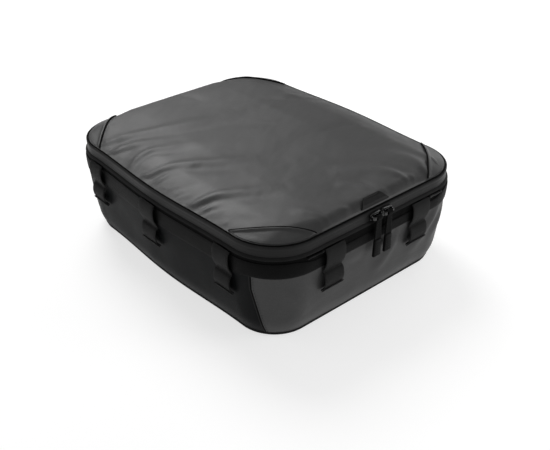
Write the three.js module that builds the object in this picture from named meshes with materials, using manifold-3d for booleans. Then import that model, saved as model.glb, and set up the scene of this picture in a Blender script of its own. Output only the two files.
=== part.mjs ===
// Packing cube: a padded, flat-bottomed fabric case with a crowned lid on a zip round three sides.
// Millimetres, +Z up. The origin is the centre of the base, on the surface that the case stands on.
// Length runs along Y. The zip sliders meet at the front, the -Y end, and the lid hinges at the rear.

import * as THREE from 'three';
import { mergeVertices } from 'three/addons/utils/BufferGeometryUtils.js';
import Module from 'manifold-3d';

const wasm = await Module();
wasm.setup();

// ---- Driving dimensions ----

// Plan of the lid seam: a rectangle with round corners whose long sides bow outward.
const seamHalfLength = 170;
const seamHalfWidth = 136;
const cornerRadius = 50;
const sideBow = 5;
const smallestRadius = 12;

// Levels above the floor.
const seamHeight = 110;
const zipTop = 107.6;
const zipFoot = 98.3;
const wallTop = 94.8;
const bindingFoot = 95.2;

// How far surfaces stand outside the seam's plan.
const wallTopGrow = 3.7;
const zipGrow = 2.2;

// The walls draw in towards the base along a power curve, and turn under in a rounded foot.
const wallTaper = 9;
const taperPower = 1.4;
const footCurl = 5.5;
const footHeight = 22;

// The lid rises steeply from its seam, then crowns gently to its middle.
const edgeRise = 8;
const edgeInset = 12;
const middleRise = 1.8;
const middleInset = 95;

// Layers of the walls, measured inward from the outer surface.
const skinThickness = 0.8;
const foamOuter = 1.2;
const foamThickness = 5;
const liningOuter = foamOuter + foamThickness + 0.4;
const liningThickness = 0.6;
const baseSkin = 1.2;
const layerGap = 0.4;
const foamFoot = baseSkin + layerGap;
const foamTop = 97;
const liningFloor = foamFoot + foamThickness + layerGap;

// The edge bindings above and below the zip.
const lowerLipGrow = 4.5;
const lowerBindingInner = 2.9;
const lidBindingTop = 109.4;
const lidBindingGrow = 2;
const lidBindingDepth = 1.4;
const bindingClear = 0.3;

// Zip parts.
const tapeThickness = 1;
const coilDepth = 1.4;
const coilHeight = 1.6;
const coilClear = 0.3;
const zipSplit = 103.2;
const zipHalfGap = 0.7;
const hingeHalfWidth = seamHalfWidth - cornerRadius;

// The lid's fabric, and the pad and the lining inside it.
const lidPanelInset = 0.9;
const lidPanelThickness = 1;
const lidFoamInset = 8;
const lidFoamFloor = 106.6;
const lidFoamClear = 1.8;
const lidLiningInset = 7.4;
const lidLiningFloor = 105.4;
const lidLiningTop = 106.2;

// Webbing and straps.
const bandFoot = 72.5;
const bandTop = 92;
const bandThickness = 1.2;
const strapWidth = 25;
const strapThickness = 1.6;
const sideStrapSpread = 111;
const endStrapSpread = 60.5;

// Each front strap has a small rounded bar beside it, tucked above the webbing.
const barLength = 20;
const barRadius = 1.3;
const barClear = 0.6;
const barAboveBand = 0.3;

// Patches over the lid: one across each corner, cut off where |x| + |y| is the chord, and a trapezoid
// tab at the front.
const patchInset = 1.6;
const patchLift = 0.4;
const patchThickness = 0.9;
const cornerChord = 248;
const tabBaseHalf = 20;
const tabTipHalf = 12;
const tabDepth = 10;
const tabThickness = 1.6;

// The wall panels of the ends wrap round the corners as far as this.
const panelSeamY = 139;

// The two sliders meet head to head a little right of the middle.
const sliderMeetX = 3;
const sliderLength = 14.6;
const sliderHeight = 9.8;
const sliderGap = 0.5;
const pullWidth = 9.6;

// ---- Materials ----

function finish(color, roughness, metalness = 0) {
  return new THREE.MeshStandardMaterial({ color, roughness, metalness });
}

const materials = {
  coatedFabric: finish(0x55565a, 0.6),
  sideFabric: finish(0x1e2024, 0.55),
  foam: finish(0x2b2c2e, 0.95),
  lining: finish(0x606266, 0.85),
  binding: finish(0x2b2c2f, 0.75),
  zipTape: finish(0x232427, 0.7),
  coil: finish(0x17181a, 0.45),
  webbing: finish(0x1a1b1d, 0.6),
  strap: finish(0x242425, 0.7),
  rubber: finish(0x1c1c1d, 0.55),
  sliderMetal: finish(0x17171a, 0.25, 0.9),
  plastic: finish(0x141416, 0.4),
};

// ---- Plan outline ----

// Stations run anticlockwise from the middle of the rear end. Unit stretches 0 and 8 are the halves of
// the rear end, 2 and 6 the left and right sides, 4 the front end, and the odd ones are the corners.
const stretchSteps = [1, 6, 6, 6, 2, 6, 6, 6, 1];
const lastStation = stretchSteps.length;

function stations(from = 0, to = lastStation) {
  const list = [];
  for (let stretch = from; stretch < to; stretch += 1) {
    const steps = stretchSteps[stretch];
    for (let step = 0; step < steps; step += 1) {
      list.push(stretch + step / steps);
    }
  }
  if (to < lastStation) {
    list.push(to);
  }
  return list;
}

// How far a long side stands beyond straight, at -1 to 1 along it. It blends into the corners.
function bowOut(along) {
  return sideBow * (1 + Math.cos(Math.PI * along)) / 2;
}

// The outline's point at a station, grown outward by `grow`, at height z.
function outlinePoint(station, grow, z) {
  const mirrored = station > lastStation / 2;
  const u = mirrored ? lastStation - station : station;
  const radius = Math.max(cornerRadius + grow, smallestRadius);
  const halfX = seamHalfWidth + grow;
  const halfY = seamHalfLength + grow;
  const straightX = halfX - radius;
  const straightY = halfY - radius;
  let x;
  let y;
  if (u <= 1) {
    x = -straightX * u;
    y = halfY;
  } else if (u <= 2) {
    const angle = (u - 1) * Math.PI / 2;
    x = -straightX - radius * Math.sin(angle);
    y = straightY + radius * Math.cos(angle);
  } else if (u <= 3) {
    const along = 1 - 2 * (u - 2);
    x = -halfX - bowOut(along);
    y = straightY * along;
  } else if (u <= 4) {
    const angle = (u - 3) * Math.PI / 2;
    x = -straightX - radius * Math.cos(angle);
    y = -straightY - radius * Math.sin(angle);
  } else {
    x = -straightX * (1 - 2 * (u - 4));
    y = -halfY;
  }
  return new THREE.Vector3(mirrored ? -x : x, y, z);
}

// How far the wall's outer surface stands outside the seam's plan at height z.
function wallGrow(z) {
  const drop = Math.max(wallTop - z, 0) / wallTop;
  const curl = Math.max(1 - z / footHeight, 0);
  return wallTopGrow - wallTaper * drop ** taperPower - footCurl * curl ** 2;
}

// Height of the lid's outer surface at a distance in from the seam.
function crownHeight(inset) {
  const edge = Math.min(inset / edgeInset, 1);
  const middle = Math.min(Math.max(inset - edgeInset, 0) / (middleInset - edgeInset), 1);
  return seamHeight + edgeRise * (1 - (1 - edge) ** 2) + middleRise * (1 - (1 - middle) ** 2);
}

// ---- Solid builders ----

function solidFrom(positions, triangles) {
  const geometry = new THREE.BufferGeometry();
  geometry.setAttribute('position', new THREE.Float32BufferAttribute(positions, 3));
  geometry.setIndex(triangles);
  return geometry;
}

function addQuad(triangles, a, b, c, d) {
  triangles.push(a, b, c, a, c, d);
}

// A skin round the plan outline. `outer` and `inner` list its faces' levels from bottom to top as
// [grow, z] pairs, one inner level for each outer one. It closes on itself unless `open` is set.
function skinSolid(outer, inner, columns, open = false) {
  const levels = outer.length;
  const positions = [];
  const triangles = [];
  for (const station of columns) {
    for (const [grow, z] of [...outer, ...inner]) {
      positions.push(...outlinePoint(station, grow, z).toArray());
    }
  }
  const stride = 2 * levels;
  const spans = open ? columns.length - 1 : columns.length;
  for (let i = 0; i < spans; i += 1) {
    const here = i * stride;
    const next = ((i + 1) % columns.length) * stride;
    for (let k = 0; k + 1 < levels; k += 1) {
      addQuad(triangles, here + k, next + k, next + k + 1, here + k + 1);
      addQuad(triangles, next + levels + k, here + levels + k, here + levels + k + 1, next + levels + k + 1);
    }
    addQuad(triangles, here + levels - 1, next + levels - 1, next + stride - 1, here + stride - 1);
    addQuad(triangles, next, here, here + levels, next + levels);
  }
  if (open) {
    const last = (columns.length - 1) * stride;
    for (let k = 0; k + 1 < levels; k += 1) {
      addQuad(triangles, k, k + 1, levels + k + 1, levels + k);
      addQuad(triangles, last + k + 1, last + k, last + levels + k, last + levels + k + 1);
    }
  }
  return solidFrom(positions, triangles);
}

// A solid lofted through rings given as [grow, z] pairs, closed by a flat fan at the first and last.
function stackSolid(rings) {
  const columns = stations();
  const count = columns.length;
  const positions = [];
  const triangles = [];
  for (const [grow, z] of rings) {
    for (const station of columns) {
      positions.push(...outlinePoint(station, grow, z).toArray());
    }
  }
  for (let k = 0; k + 1 < rings.length; k += 1) {
    for (let i = 0; i < count; i += 1) {
      const next = (i + 1) % count;
      addQuad(triangles, k * count + i, k * count + next, (k + 1) * count + next, (k + 1) * count + i);
    }
  }
  const firstCentre = rings.length * count;
  const lastRing = (rings.length - 1) * count;
  positions.push(0, 0, rings[0][1]);
  positions.push(0, 0, rings[rings.length - 1][1]);
  for (let i = 0; i < count; i += 1) {
    const next = (i + 1) % count;
    triangles.push(firstCentre, next, i);
    triangles.push(firstCentre + 1, lastRing + i, lastRing + next);
  }
  return solidFrom(positions, triangles);
}

// A closed sheet that follows the lid's crown, from `low` to `high` above the lid's outer surface.
function crownSheet(startInset, low, high) {
  const halfway = (middleInset - edgeInset) / 2;
  const insets = [middleInset, halfway, edgeInset, 0.6 * edgeInset, edgeInset / 4, startInset];
  const under = insets.map((inset) => [-inset, crownHeight(inset) + low]);
  const over = insets.map((inset) => [-inset, crownHeight(inset) + high]).reverse();
  return stackSolid([...under, ...over]);
}

// A flat shape in the YZ plane, given as [y, z] points or a Shape, given thickness along X.
function extrudeAcross(shape, width) {
  const geometry = new THREE.ExtrudeGeometry(shape, { depth: width, bevelEnabled: false, curveSegments: 10 });
  geometry.translate(0, 0, -width / 2);
  geometry.rotateZ(Math.PI / 2);
  geometry.rotateY(Math.PI / 2);
  return geometry;
}

function shapeOf(points) {
  return new THREE.Shape(points.map(([a, b]) => new THREE.Vector2(a, b)));
}

function prism(points, foot, top) {
  const geometry = new THREE.ExtrudeGeometry(shapeOf(points), { depth: top - foot, bevelEnabled: false });
  geometry.translate(0, 0, foot);
  return geometry;
}

function boxAt(low, high) {
  const size = high.map((value, axis) => value - low[axis]);
  const geometry = new THREE.BoxGeometry(...size);
  geometry.translate(...low.map((value, axis) => value + size[axis] / 2));
  return geometry;
}

// ---- Joining and cutting ----

function toManifold(geometry) {
  const bare = geometry.clone();
  bare.deleteAttribute('normal');
  bare.deleteAttribute('uv');
  const merged = mergeVertices(bare, 1e-4);
  return new wasm.Manifold(new wasm.Mesh({
    numProp: 3,
    vertProperties: new Float32Array(merged.getAttribute('position').array),
    triVerts: new Uint32Array(merged.getIndex().array),
  }));
}

function fromManifold(solid) {
  const mesh = solid.getMesh();
  return solidFrom(Array.from(mesh.vertProperties), Array.from(mesh.triVerts));
}

function joined(...geometries) {
  const [first, ...rest] = geometries.map(toManifold);
  return fromManifold(rest.reduce((whole, part) => whole.add(part), first));
}

function kept(geometry, region) {
  return fromManifold(toManifold(geometry).intersect(toManifold(region)));
}

// ---- Assembly ----

const cube = new THREE.Group();
const caseGroup = new THREE.Group();
const lidGroup = new THREE.Group();
cube.add(caseGroup, lidGroup);

function addPiece(parent, name, geometry, material) {
  const faceted = geometry.index ? geometry.toNonIndexed() : geometry;
  faceted.computeVertexNormals();
  const mesh = new THREE.Mesh(faceted, material.clone());
  mesh.name = name;
  parent.add(mesh);
  return mesh;
}

// The regions that divide a ring into its front, rear, left and right stretches at |y| = seamY.
function wallRegions(seamY) {
  const reach = 2 * seamHalfLength;
  const split = seamY - layerGap / 2;
  return {
    front: boxAt([-reach, -reach, -1], [reach, -seamY - layerGap / 2, reach]),
    rear: boxAt([-reach, seamY + layerGap / 2, -1], [reach, reach, reach]),
    left: boxAt([-reach, -split, -1], [0, split, reach]),
    right: boxAt([0, -split, -1], [reach, split, reach]),
  };
}

// Levels of a wall layer from `foot` to `top`, `depth` inside the wall's outer surface. They are
// closer together in the rounded foot.
function wallLevels(foot, top, depth) {
  const steps = 7;
  const levels = [];
  for (let k = 0; k <= steps; k += 1) {
    const z = foot + (top - foot) * (k / steps) ** 1.7;
    levels.push([wallGrow(z) - depth, z]);
  }
  return levels;
}

// ---- Case: base, walls, foam and lining ----

function addBase() {
  const edge = wallGrow(0);
  const panel = stackSolid([[edge, 0], [wallGrow(baseSkin), baseSkin]]);
  addPiece(caseGroup, 'base_panel', panel, materials.sideFabric);
  const foamEdge = wallGrow(foamFoot) - liningOuter - layerGap;
  const foam = stackSolid([[foamEdge, foamFoot], [foamEdge, foamFoot + foamThickness]]);
  addPiece(caseGroup, 'base_foam', foam, materials.foam);
  const pipingFoot = 0.8;
  const pipingTop = 2.6;
  const pipingReach = 1.3;
  const piping = skinSolid(
    [[wallGrow(pipingFoot) + pipingReach, pipingFoot], [wallGrow(pipingTop) + pipingReach, pipingTop]],
    [[wallGrow(pipingFoot) + layerGap, pipingFoot], [wallGrow(pipingTop) + layerGap, pipingTop]],
    stations(),
  );
  addPiece(caseGroup, 'base_piping', piping, materials.binding);
}

function addWalls() {
  const panelFoot = baseSkin + layerGap;
  const skin = skinSolid(
    wallLevels(panelFoot, wallTop, 0),
    wallLevels(panelFoot, wallTop, skinThickness),
    stations(),
  );
  const fabrics = { front: 'coatedFabric', rear: 'coatedFabric', left: 'sideFabric', right: 'sideFabric' };
  for (const [side, region] of Object.entries(wallRegions(panelSeamY))) {
    addPiece(caseGroup, `${side}_wall_panel`, kept(skin, region), materials[fabrics[side]]);
  }
  const foam = skinSolid(
    wallLevels(foamFoot, foamTop, foamOuter),
    wallLevels(foamFoot, foamTop, foamOuter + foamThickness),
    stations(),
  );
  for (const [side, region] of Object.entries(wallRegions(seamHalfLength - cornerRadius))) {
    addPiece(caseGroup, `${side}_wall_foam`, kept(foam, region), materials.foam);
  }
}

function addLining() {
  const outside = wallLevels(liningFloor, foamTop, liningOuter);
  const inside = wallLevels(liningFloor + liningThickness, foamTop, liningOuter + liningThickness);
  const tray = stackSolid([...outside, ...inside.reverse()]);
  addPiece(caseGroup, 'case_lining', tray, materials.lining);
}

// ---- Case: zip half, webbing band and straps ----

function zipBand(foot, top, outerGrow, depth, columns, open) {
  return skinSolid(
    [[outerGrow, foot], [outerGrow, top]],
    [[outerGrow - depth, foot], [outerGrow - depth, top]],
    columns,
    open,
  );
}

const zipRun = stations(1, 8);

function addCaseZip() {
  const bindingTop = zipFoot - bindingClear;
  const binding = skinSolid(
    [[lowerLipGrow, bindingFoot], [wallTopGrow, bindingTop]],
    [[lowerBindingInner, bindingFoot], [lowerBindingInner, bindingTop]],
    stations(),
  );
  addPiece(caseGroup, 'lower_binding', binding, materials.binding);
  const tapeTop = zipSplit - zipHalfGap;
  const tape = zipBand(zipFoot, tapeTop, zipGrow, tapeThickness, zipRun, true);
  addPiece(caseGroup, 'lower_zip_tape', tape, materials.zipTape);
  const coilGrow = zipGrow - tapeThickness - coilClear;
  const coil = zipBand(tapeTop - coilHeight, tapeTop, coilGrow, coilDepth, zipRun, true);
  addPiece(caseGroup, 'lower_zip_coil', coil, materials.coil);
  const strip = boxAt(
    [-hingeHalfWidth + 1, seamHalfLength + zipGrow - tapeThickness, zipFoot],
    [hingeHalfWidth - 1, seamHalfLength + zipGrow, zipTop],
  );
  addPiece(caseGroup, 'hinge_strip', strip, materials.zipTape);
}

// A block that closes each end of the teeth, behind the hinge strip.
function addZipStops() {
  const half = [1.5, 0.6, 3];
  const behind = seamHalfLength + zipGrow - tapeThickness - coilDepth - half[0];
  for (const [side, sign] of [['left', -1], ['right', 1]]) {
    const stop = boxAt(half.map((size) => -size), half);
    const mesh = addPiece(caseGroup, `zip_stop_${side}`, stop, materials.plastic);
    mesh.position.set(sign * (hingeHalfWidth - half[0] - 1), behind, zipSplit - 1);
  }
}

function addWebbingBand() {
  const level = (z, standOff) => [wallGrow(z) + standOff, z];
  const outer = layerGap + bandThickness;
  const band = skinSolid(
    [level(bandFoot, outer), level(bandTop, outer)],
    [level(bandFoot, layerGap), level(bandTop, layerGap)],
    stations(),
  );
  addPiece(caseGroup, 'webbing_band', band, materials.webbing);
}

// A lash strap hangs in two loops. Each entry is the height of a point on its back and how far that
// point stands off the wall; the strap is sewn down where it nearly touches.
const strapRun = [
  [94.7, 1.2], [91, 3.6], [84.5, 4.8], [77, 4.2], [68.8, 0.8],
  [65, 4.4], [58, 6.4], [51, 5], [46, 0.8],
];

function strapGeometry() {
  const back = strapRun.map(([z, clear]) => new THREE.Vector2(wallGrow(z) + clear, z));
  const backLine = new THREE.SplineCurve(back).getPoints(2 * (back.length - 1));
  const front = backLine.map((point) => [point.x + strapThickness, point.y]).reverse();
  const outline = [...backLine.map((point) => [point.x, point.y]), ...front];
  return extrudeAcross(shapeOf(outline), strapWidth);
}

// Stands a strap at a place on the seam's plan, turned so that its local +Y points out of the wall.
function addStrap(name, x, y, turn) {
  const mesh = addPiece(caseGroup, name, strapGeometry(), materials.strap);
  mesh.position.set(x, y, 0);
  mesh.rotation.z = turn;
}

function addStraps() {
  const sidePlaces = { front: -sideStrapSpread, middle: 5, rear: sideStrapSpread };
  const straight = seamHalfLength - cornerRadius;
  for (const [side, sign] of [['left', -1], ['right', 1]]) {
    for (const [place, y] of Object.entries(sidePlaces)) {
      const x = sign * (seamHalfWidth + bowOut(y / straight));
      addStrap(`strap_${side}_${place}`, x, y, -sign * Math.PI / 2);
    }
    addStrap(`strap_front_${side}`, sign * endStrapSpread, -seamHalfLength, Math.PI);
    addStrap(`strap_rear_${side}`, sign * endStrapSpread, seamHalfLength, 0);
  }
}

function addStrapBars() {
  const middleX = endStrapSpread + strapWidth / 2 + barClear + barLength / 2;
  const y = -(seamHalfLength + wallTopGrow + barAboveBand + barRadius);
  const z = bandTop + barAboveBand + barRadius;
  for (const [side, sign] of [['left', -1], ['right', 1]]) {
    const bar = new THREE.CapsuleGeometry(barRadius, barLength - 2 * barRadius, 3, 8);
    bar.rotateZ(Math.PI / 2);
    const mesh = addPiece(caseGroup, `strap_bar_${side}`, bar, materials.plastic);
    mesh.position.set(sign * middleX, y, z);
  }
}

// ---- Lid ----

function addLid() {
  addPiece(lidGroup, 'lid_panel', crownSheet(lidPanelInset, -lidPanelThickness, 0), materials.coatedFabric);
  const under = (inset) => [-inset, crownHeight(inset) - lidFoamClear];
  const foam = stackSolid([
    [-lidFoamInset, lidFoamFloor],
    under(lidFoamInset),
    under(edgeInset + 2),
    under((middleInset - edgeInset) / 2),
    under(middleInset),
  ]);
  addPiece(lidGroup, 'lid_foam', foam, materials.foam);
  const lining = stackSolid([[-lidLiningInset, lidLiningFloor], [-lidLiningInset, lidLiningTop]]);
  addPiece(lidGroup, 'lid_lining', lining, materials.lining);
  const middle = seamHeight + 0.5;
  const low = middle - 0.85;
  const high = middle + 0.85;
  const piping = skinSolid(
    [[0.3, low], [1.3, middle], [0.3, high]],
    [[-0.4, low], [-0.6, middle], [-0.4, high]],
    stations(),
  );
  addPiece(lidGroup, 'lid_piping', piping, materials.binding);
  const bindingFootZ = zipTop + bindingClear;
  const binding = zipBand(bindingFootZ, lidBindingTop, lidBindingGrow, lidBindingDepth, stations(), false);
  addPiece(lidGroup, 'lid_binding', binding, materials.binding);
}

function addLidZip() {
  const tapeFoot = zipSplit + zipHalfGap;
  const tape = zipBand(tapeFoot, zipTop, zipGrow, tapeThickness, zipRun, true);
  addPiece(lidGroup, 'upper_zip_tape', tape, materials.zipTape);
  const coilGrow = zipGrow - tapeThickness - coilClear;
  const coil = zipBand(tapeFoot, tapeFoot + coilHeight, coilGrow, coilDepth, zipRun, true);
  addPiece(lidGroup, 'upper_zip_coil', coil, materials.coil);
}

function addLidPatches() {
  const above = [seamHeight, seamHeight + 20];
  const sheet = crownSheet(patchInset, patchLift, patchLift + patchThickness);
  const corners = { front_left: [-1, -1], front_right: [1, -1], rear_left: [-1, 1], rear_right: [1, 1] };
  for (const [name, [signX, signY]] of Object.entries(corners)) {
    const triangle = [[0, cornerChord], [cornerChord, 0], [cornerChord, cornerChord]];
    const region = triangle.map(([x, y]) => [signX * x, signY * y]);
    if (signX * signY < 0) {
      region.reverse();
    }
    addPiece(lidGroup, `corner_patch_${name}`, kept(sheet, prism(region, ...above)), materials.coatedFabric);
  }
  const base = -seamHalfLength;
  const tip = base + tabDepth;
  const trapezoid = [[-tabBaseHalf, base], [tabBaseHalf, base], [tabTipHalf, tip], [-tabTipHalf, tip]];
  const tabSheet = crownSheet(patchInset, patchLift, patchLift + tabThickness);
  addPiece(lidGroup, 'front_patch', kept(tabSheet, prism(trapezoid, ...above)), materials.rubber);
}

// ---- Sliders and pulls ----

// A slider straddles both tapes: a shaped plate outside with a bridge, a post between the tapes, and a
// plate inside. Local Y points into the case and 0 is the tapes' outer face; local X is the travel.
const bridgeY = -6.4;
const bridgeHalfThickness = 0.8;
const bridgeHalfDepth = 1.3;
const bridgeHalfSpan = 5.3;
const plateClear = 0.4;
const plateThickness = 2;
const headLength = 3;
const headChamfer = 1.6;
const tailTaper = 1.4;
const postHalfLength = 2;
const postHalfThickness = 0.35;
const innerPlateStart = 3.1;
const innerPlateThickness = 1.2;

function sliderGeometry(headSign) {
  const half = sliderLength / 2;
  const wide = sliderHeight / 2;
  const tail = wide - tailTaper;
  const plan = [
    [-half, -tail], [half - headLength, -wide], [half, -wide + headChamfer],
    [half, wide - headChamfer], [half - headLength, wide], [-half, tail],
  ].map(([x, z]) => [headSign * x, z]);
  if (headSign < 0) {
    plan.reverse();
  }
  const outerPlate = prism(plan, plateClear, plateClear + plateThickness);
  outerPlate.rotateX(Math.PI / 2);
  const post = boxAt(
    [-postHalfLength, -plateClear - 0.2, -postHalfThickness],
    [postHalfLength, innerPlateStart + 0.1, postHalfThickness],
  );
  const innerEnd = innerPlateStart + innerPlateThickness;
  const innerPlate = boxAt([-half + 1, innerPlateStart, -4], [half - 1, innerEnd, 4]);
  const front = bridgeY - bridgeHalfThickness;
  const bridgeEnd = half - 0.2;
  const legs = [[-bridgeEnd, -bridgeHalfSpan], [bridgeHalfSpan, bridgeEnd]].map(([from, to]) => (
    boxAt([from, front, -bridgeHalfDepth], [to, -plateThickness - 0.2, bridgeHalfDepth])
  ));
  const back = bridgeY + bridgeHalfThickness;
  const bar = boxAt([-bridgeEnd, front, -bridgeHalfDepth], [bridgeEnd, back, bridgeHalfDepth]);
  return joined(outerPlate, post, innerPlate, ...legs, bar);
}

// The pull's webbing wraps the bridge in an eye and hangs as a double layer.
const eyeRadius = 2.6;
const pullLayers = 1.6;
const webbingDrop = 24;

// The moulded end of a pull flares a little towards its foot and has soft edges.
const pullEndDrop = 20;
const pullEndHalfWidth = 5.2;
const pullEndHalfDepth = 1.8;
const pullEndCorner = 1.5;
const pullEndFlare = 0.8;
const pullEndBevel = 0.5;

function pullWebbingGeometry() {
  const shape = new THREE.Shape();
  const halfLayers = pullLayers / 2;
  const tuck = Math.asin(halfLayers / eyeRadius);
  shape.absarc(0, 0, eyeRadius, -Math.PI / 2 + tuck, 1.5 * Math.PI - tuck, false);
  shape.lineTo(-halfLayers, -webbingDrop);
  shape.lineTo(halfLayers, -webbingDrop);
  shape.closePath();
  const eye = new THREE.Path();
  eye.absarc(0, 0, eyeRadius - pullLayers / 2, 0, 2 * Math.PI, true);
  shape.holes.push(eye);
  return extrudeAcross(shape, pullWidth);
}

function pullEndGeometry() {
  const foot = -pullEndDrop;
  const top = pullEndHalfWidth - pullEndFlare;
  const shape = shapeOf([
    [-top, 0], [-pullEndHalfWidth, foot + pullEndCorner], [-pullEndHalfWidth + pullEndCorner, foot],
    [pullEndHalfWidth - pullEndCorner, foot], [pullEndHalfWidth, foot + pullEndCorner], [top, 0],
  ]);
  const geometry = new THREE.ExtrudeGeometry(shape, {
    depth: 2 * (pullEndHalfDepth - pullEndBevel),
    bevelEnabled: true,
    bevelThickness: pullEndBevel,
    bevelSize: pullEndBevel,
    bevelSegments: 1,
    bevelOffset: -pullEndBevel,
  });
  geometry.translate(0, 0, pullEndBevel - pullEndHalfDepth);
  geometry.rotateX(Math.PI / 2);
  return geometry;
}

function addSliders() {
  for (const [side, sign] of [['left', -1], ['right', 1]]) {
    const group = new THREE.Group();
    const centre = sliderMeetX + sign * (sliderLength / 2 + sliderGap / 2);
    group.position.set(centre, -(seamHalfLength + zipGrow), zipSplit);
    cube.add(group);
    addPiece(group, `slider_${side}`, sliderGeometry(-sign), materials.sliderMetal);
    const webbing = addPiece(group, `pull_webbing_${side}`, pullWebbingGeometry(), materials.strap);
    webbing.position.set(0, bridgeY, 0);
    const end = addPiece(group, `pull_end_${side}`, pullEndGeometry(), materials.rubber);
    end.position.set(0, bridgeY, -webbingDrop - 0.3);
  }
}

addBase();
addWalls();
addLining();
addCaseZip();
addZipStops();
addWebbingBand();
addStraps();
addStrapBars();
addLid();
addLidZip();
addLidPatches();
addSliders();

export default cube;
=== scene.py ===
"""Looks of the packing cube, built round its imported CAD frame.

Every length is in metres in the frame's own axes: the case stands on z = 0, its length runs along Y,
the sliders meet at the front, which is the -Y end, and the lid hinges at the rear.
"""

import math

import bmesh
import bpy
import numpy as np
from mathutils import Matrix, Vector, noise


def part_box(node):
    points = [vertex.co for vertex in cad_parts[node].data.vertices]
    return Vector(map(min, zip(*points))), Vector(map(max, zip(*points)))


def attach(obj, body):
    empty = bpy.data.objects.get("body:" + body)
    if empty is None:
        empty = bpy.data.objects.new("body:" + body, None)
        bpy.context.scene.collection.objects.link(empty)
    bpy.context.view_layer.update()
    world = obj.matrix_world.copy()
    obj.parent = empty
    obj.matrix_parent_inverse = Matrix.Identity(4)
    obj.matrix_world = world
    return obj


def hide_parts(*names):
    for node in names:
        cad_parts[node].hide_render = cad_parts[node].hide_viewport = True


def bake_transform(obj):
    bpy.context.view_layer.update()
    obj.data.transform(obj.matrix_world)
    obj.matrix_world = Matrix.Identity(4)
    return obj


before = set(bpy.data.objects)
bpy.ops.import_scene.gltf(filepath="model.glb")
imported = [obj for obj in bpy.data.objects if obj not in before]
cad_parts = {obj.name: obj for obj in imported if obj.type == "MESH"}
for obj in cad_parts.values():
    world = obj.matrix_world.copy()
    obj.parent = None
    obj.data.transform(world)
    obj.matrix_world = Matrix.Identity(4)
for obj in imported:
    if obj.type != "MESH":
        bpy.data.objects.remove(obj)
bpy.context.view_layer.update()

MM = 0.001

# ---- Measures taken from the frame ----


def lowest(node):
    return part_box(node)[0]


def highest(node):
    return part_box(node)[1]


PANEL_INSET = 0.9 * MM
LAYER_GAP = 0.4 * MM

# Plan of the lid's seam: a rectangle with round corners whose long sides bow outward.
STRAIGHT_Y = highest("left_wall_foam").y + LAYER_GAP / 2
SEAM_Y = highest("lid_panel").y + PANEL_INSET
RADIUS = SEAM_Y - STRAIGHT_Y
SMALLEST_RADIUS = 12 * MM
STRAIGHT_X = highest("hinge_strip").x + 1 * MM
SEAM_X = STRAIGHT_X + RADIUS
SIDE_BOW = highest("lid_panel").x + PANEL_INSET - SEAM_X

# The lid climbs steeply from the seam, then crowns gently to its middle.
SEAM_Z = lowest("lid_piping").z + 0.3 * MM
TOP_Z = highest("lid_panel").z
MIDDLE_RISE = 1.8 * MM
EDGE_RISE = TOP_Z - SEAM_Z - MIDDLE_RISE
EDGE_INSET = 12 * MM
MIDDLE_INSET = 95 * MM

# The walls draw in towards the base along a power curve, and turn under in a rounded foot.
WALL_TOP = highest("rear_wall_panel").z
WALL_TOP_GROW = highest("rear_wall_panel").y - SEAM_Y
BASE_TOP = highest("base_panel").z
BASE_GROW = highest("base_panel").y - SEAM_Y
TAPER_POWER = 1.4
FOOT_CURL = 5.5 * MM
FOOT_HEIGHT = 22 * MM
CURL_AT_BASE_TOP = FOOT_CURL * (1 - BASE_TOP / FOOT_HEIGHT) ** 2
WALL_TAPER = ((WALL_TOP_GROW - BASE_GROW - CURL_AT_BASE_TOP)
              / ((WALL_TOP - BASE_TOP) / WALL_TOP) ** TAPER_POWER)

ZIP_GROW = highest("lower_zip_tape").y - SEAM_Y
LAST_STATION = 9


def outline(stations, grow=0.0):
    """Plan points at stations 0 to 9, anticlockwise from the middle of the rear, grown outward."""
    stations, grow = np.broadcast_arrays(np.asarray(stations, float) % LAST_STATION, grow)
    u = np.minimum(stations, LAST_STATION - stations)
    side = np.where(stations > LAST_STATION / 2, 1.0, -1.0)
    radius = np.maximum(RADIUS + grow, SMALLEST_RADIUS)
    along = 1 - 2 * np.clip(u - 2, 0, 1)
    turn = (np.clip(u - 1, 0, 1) + np.clip(u - 3, 0, 1)) * math.pi / 2
    end = np.clip(u, 0, 1) - 2 * np.clip(u - 4, 0, 0.5)
    bow = SIDE_BOW * (1 + np.cos(math.pi * along)) / 2
    x = (SEAM_X + grow - radius) * end + radius * np.sin(turn) + bow
    y = (SEAM_Y + grow - radius) * along + radius * np.cos(turn)
    return np.stack([side * x, y], axis=-1)


def ramp(values, start, end):
    """0 before start, 1 after end and even between."""
    return np.clip((values - start) / (end - start), 0, 1)


def reach_along(line):
    """Distance covered at each point of a line."""
    steps = np.linalg.norm(np.diff(line, axis=0), axis=1)
    return np.concatenate([[0], np.cumsum(steps)])


def columns(start, end, spacing):
    """Stations from start to end, evenly spaced along the seam."""
    fine = np.linspace(start, end, 3000)
    reach = reach_along(outline(fine))
    count = max(round(reach[-1] / spacing), 2)
    return np.interp(np.linspace(0, reach[-1], count + 1), reach, fine)


def whole_round(spacing):
    return columns(0, LAST_STATION, spacing)[:-1]


def station_at(x, y):
    """Station of the point of the outline nearest to a plan point."""
    fine = np.linspace(0, LAST_STATION, 6000)
    gaps = np.linalg.norm(outline(fine) - (x, y), axis=1)
    return fine[np.argmin(gaps)]


def span(x, y, width):
    """Stations where a strip of a given width, centred near a plan point, starts and ends."""
    middle = station_at(x, y)
    step = 0.01
    speed = np.linalg.norm(outline(middle + step) - outline(middle - step)) / (2 * step)
    return middle - width / 2 / speed, middle + width / 2 / speed


def wall_grow(z):
    """How far the wall's outer surface stands outside the seam's plan."""
    z = np.asarray(z, float)
    drop = np.maximum(WALL_TOP - z, 0) / WALL_TOP
    curl = np.maximum(1 - z / FOOT_HEIGHT, 0)
    return WALL_TOP_GROW - WALL_TAPER * drop ** TAPER_POWER - FOOT_CURL * curl ** 2


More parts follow.
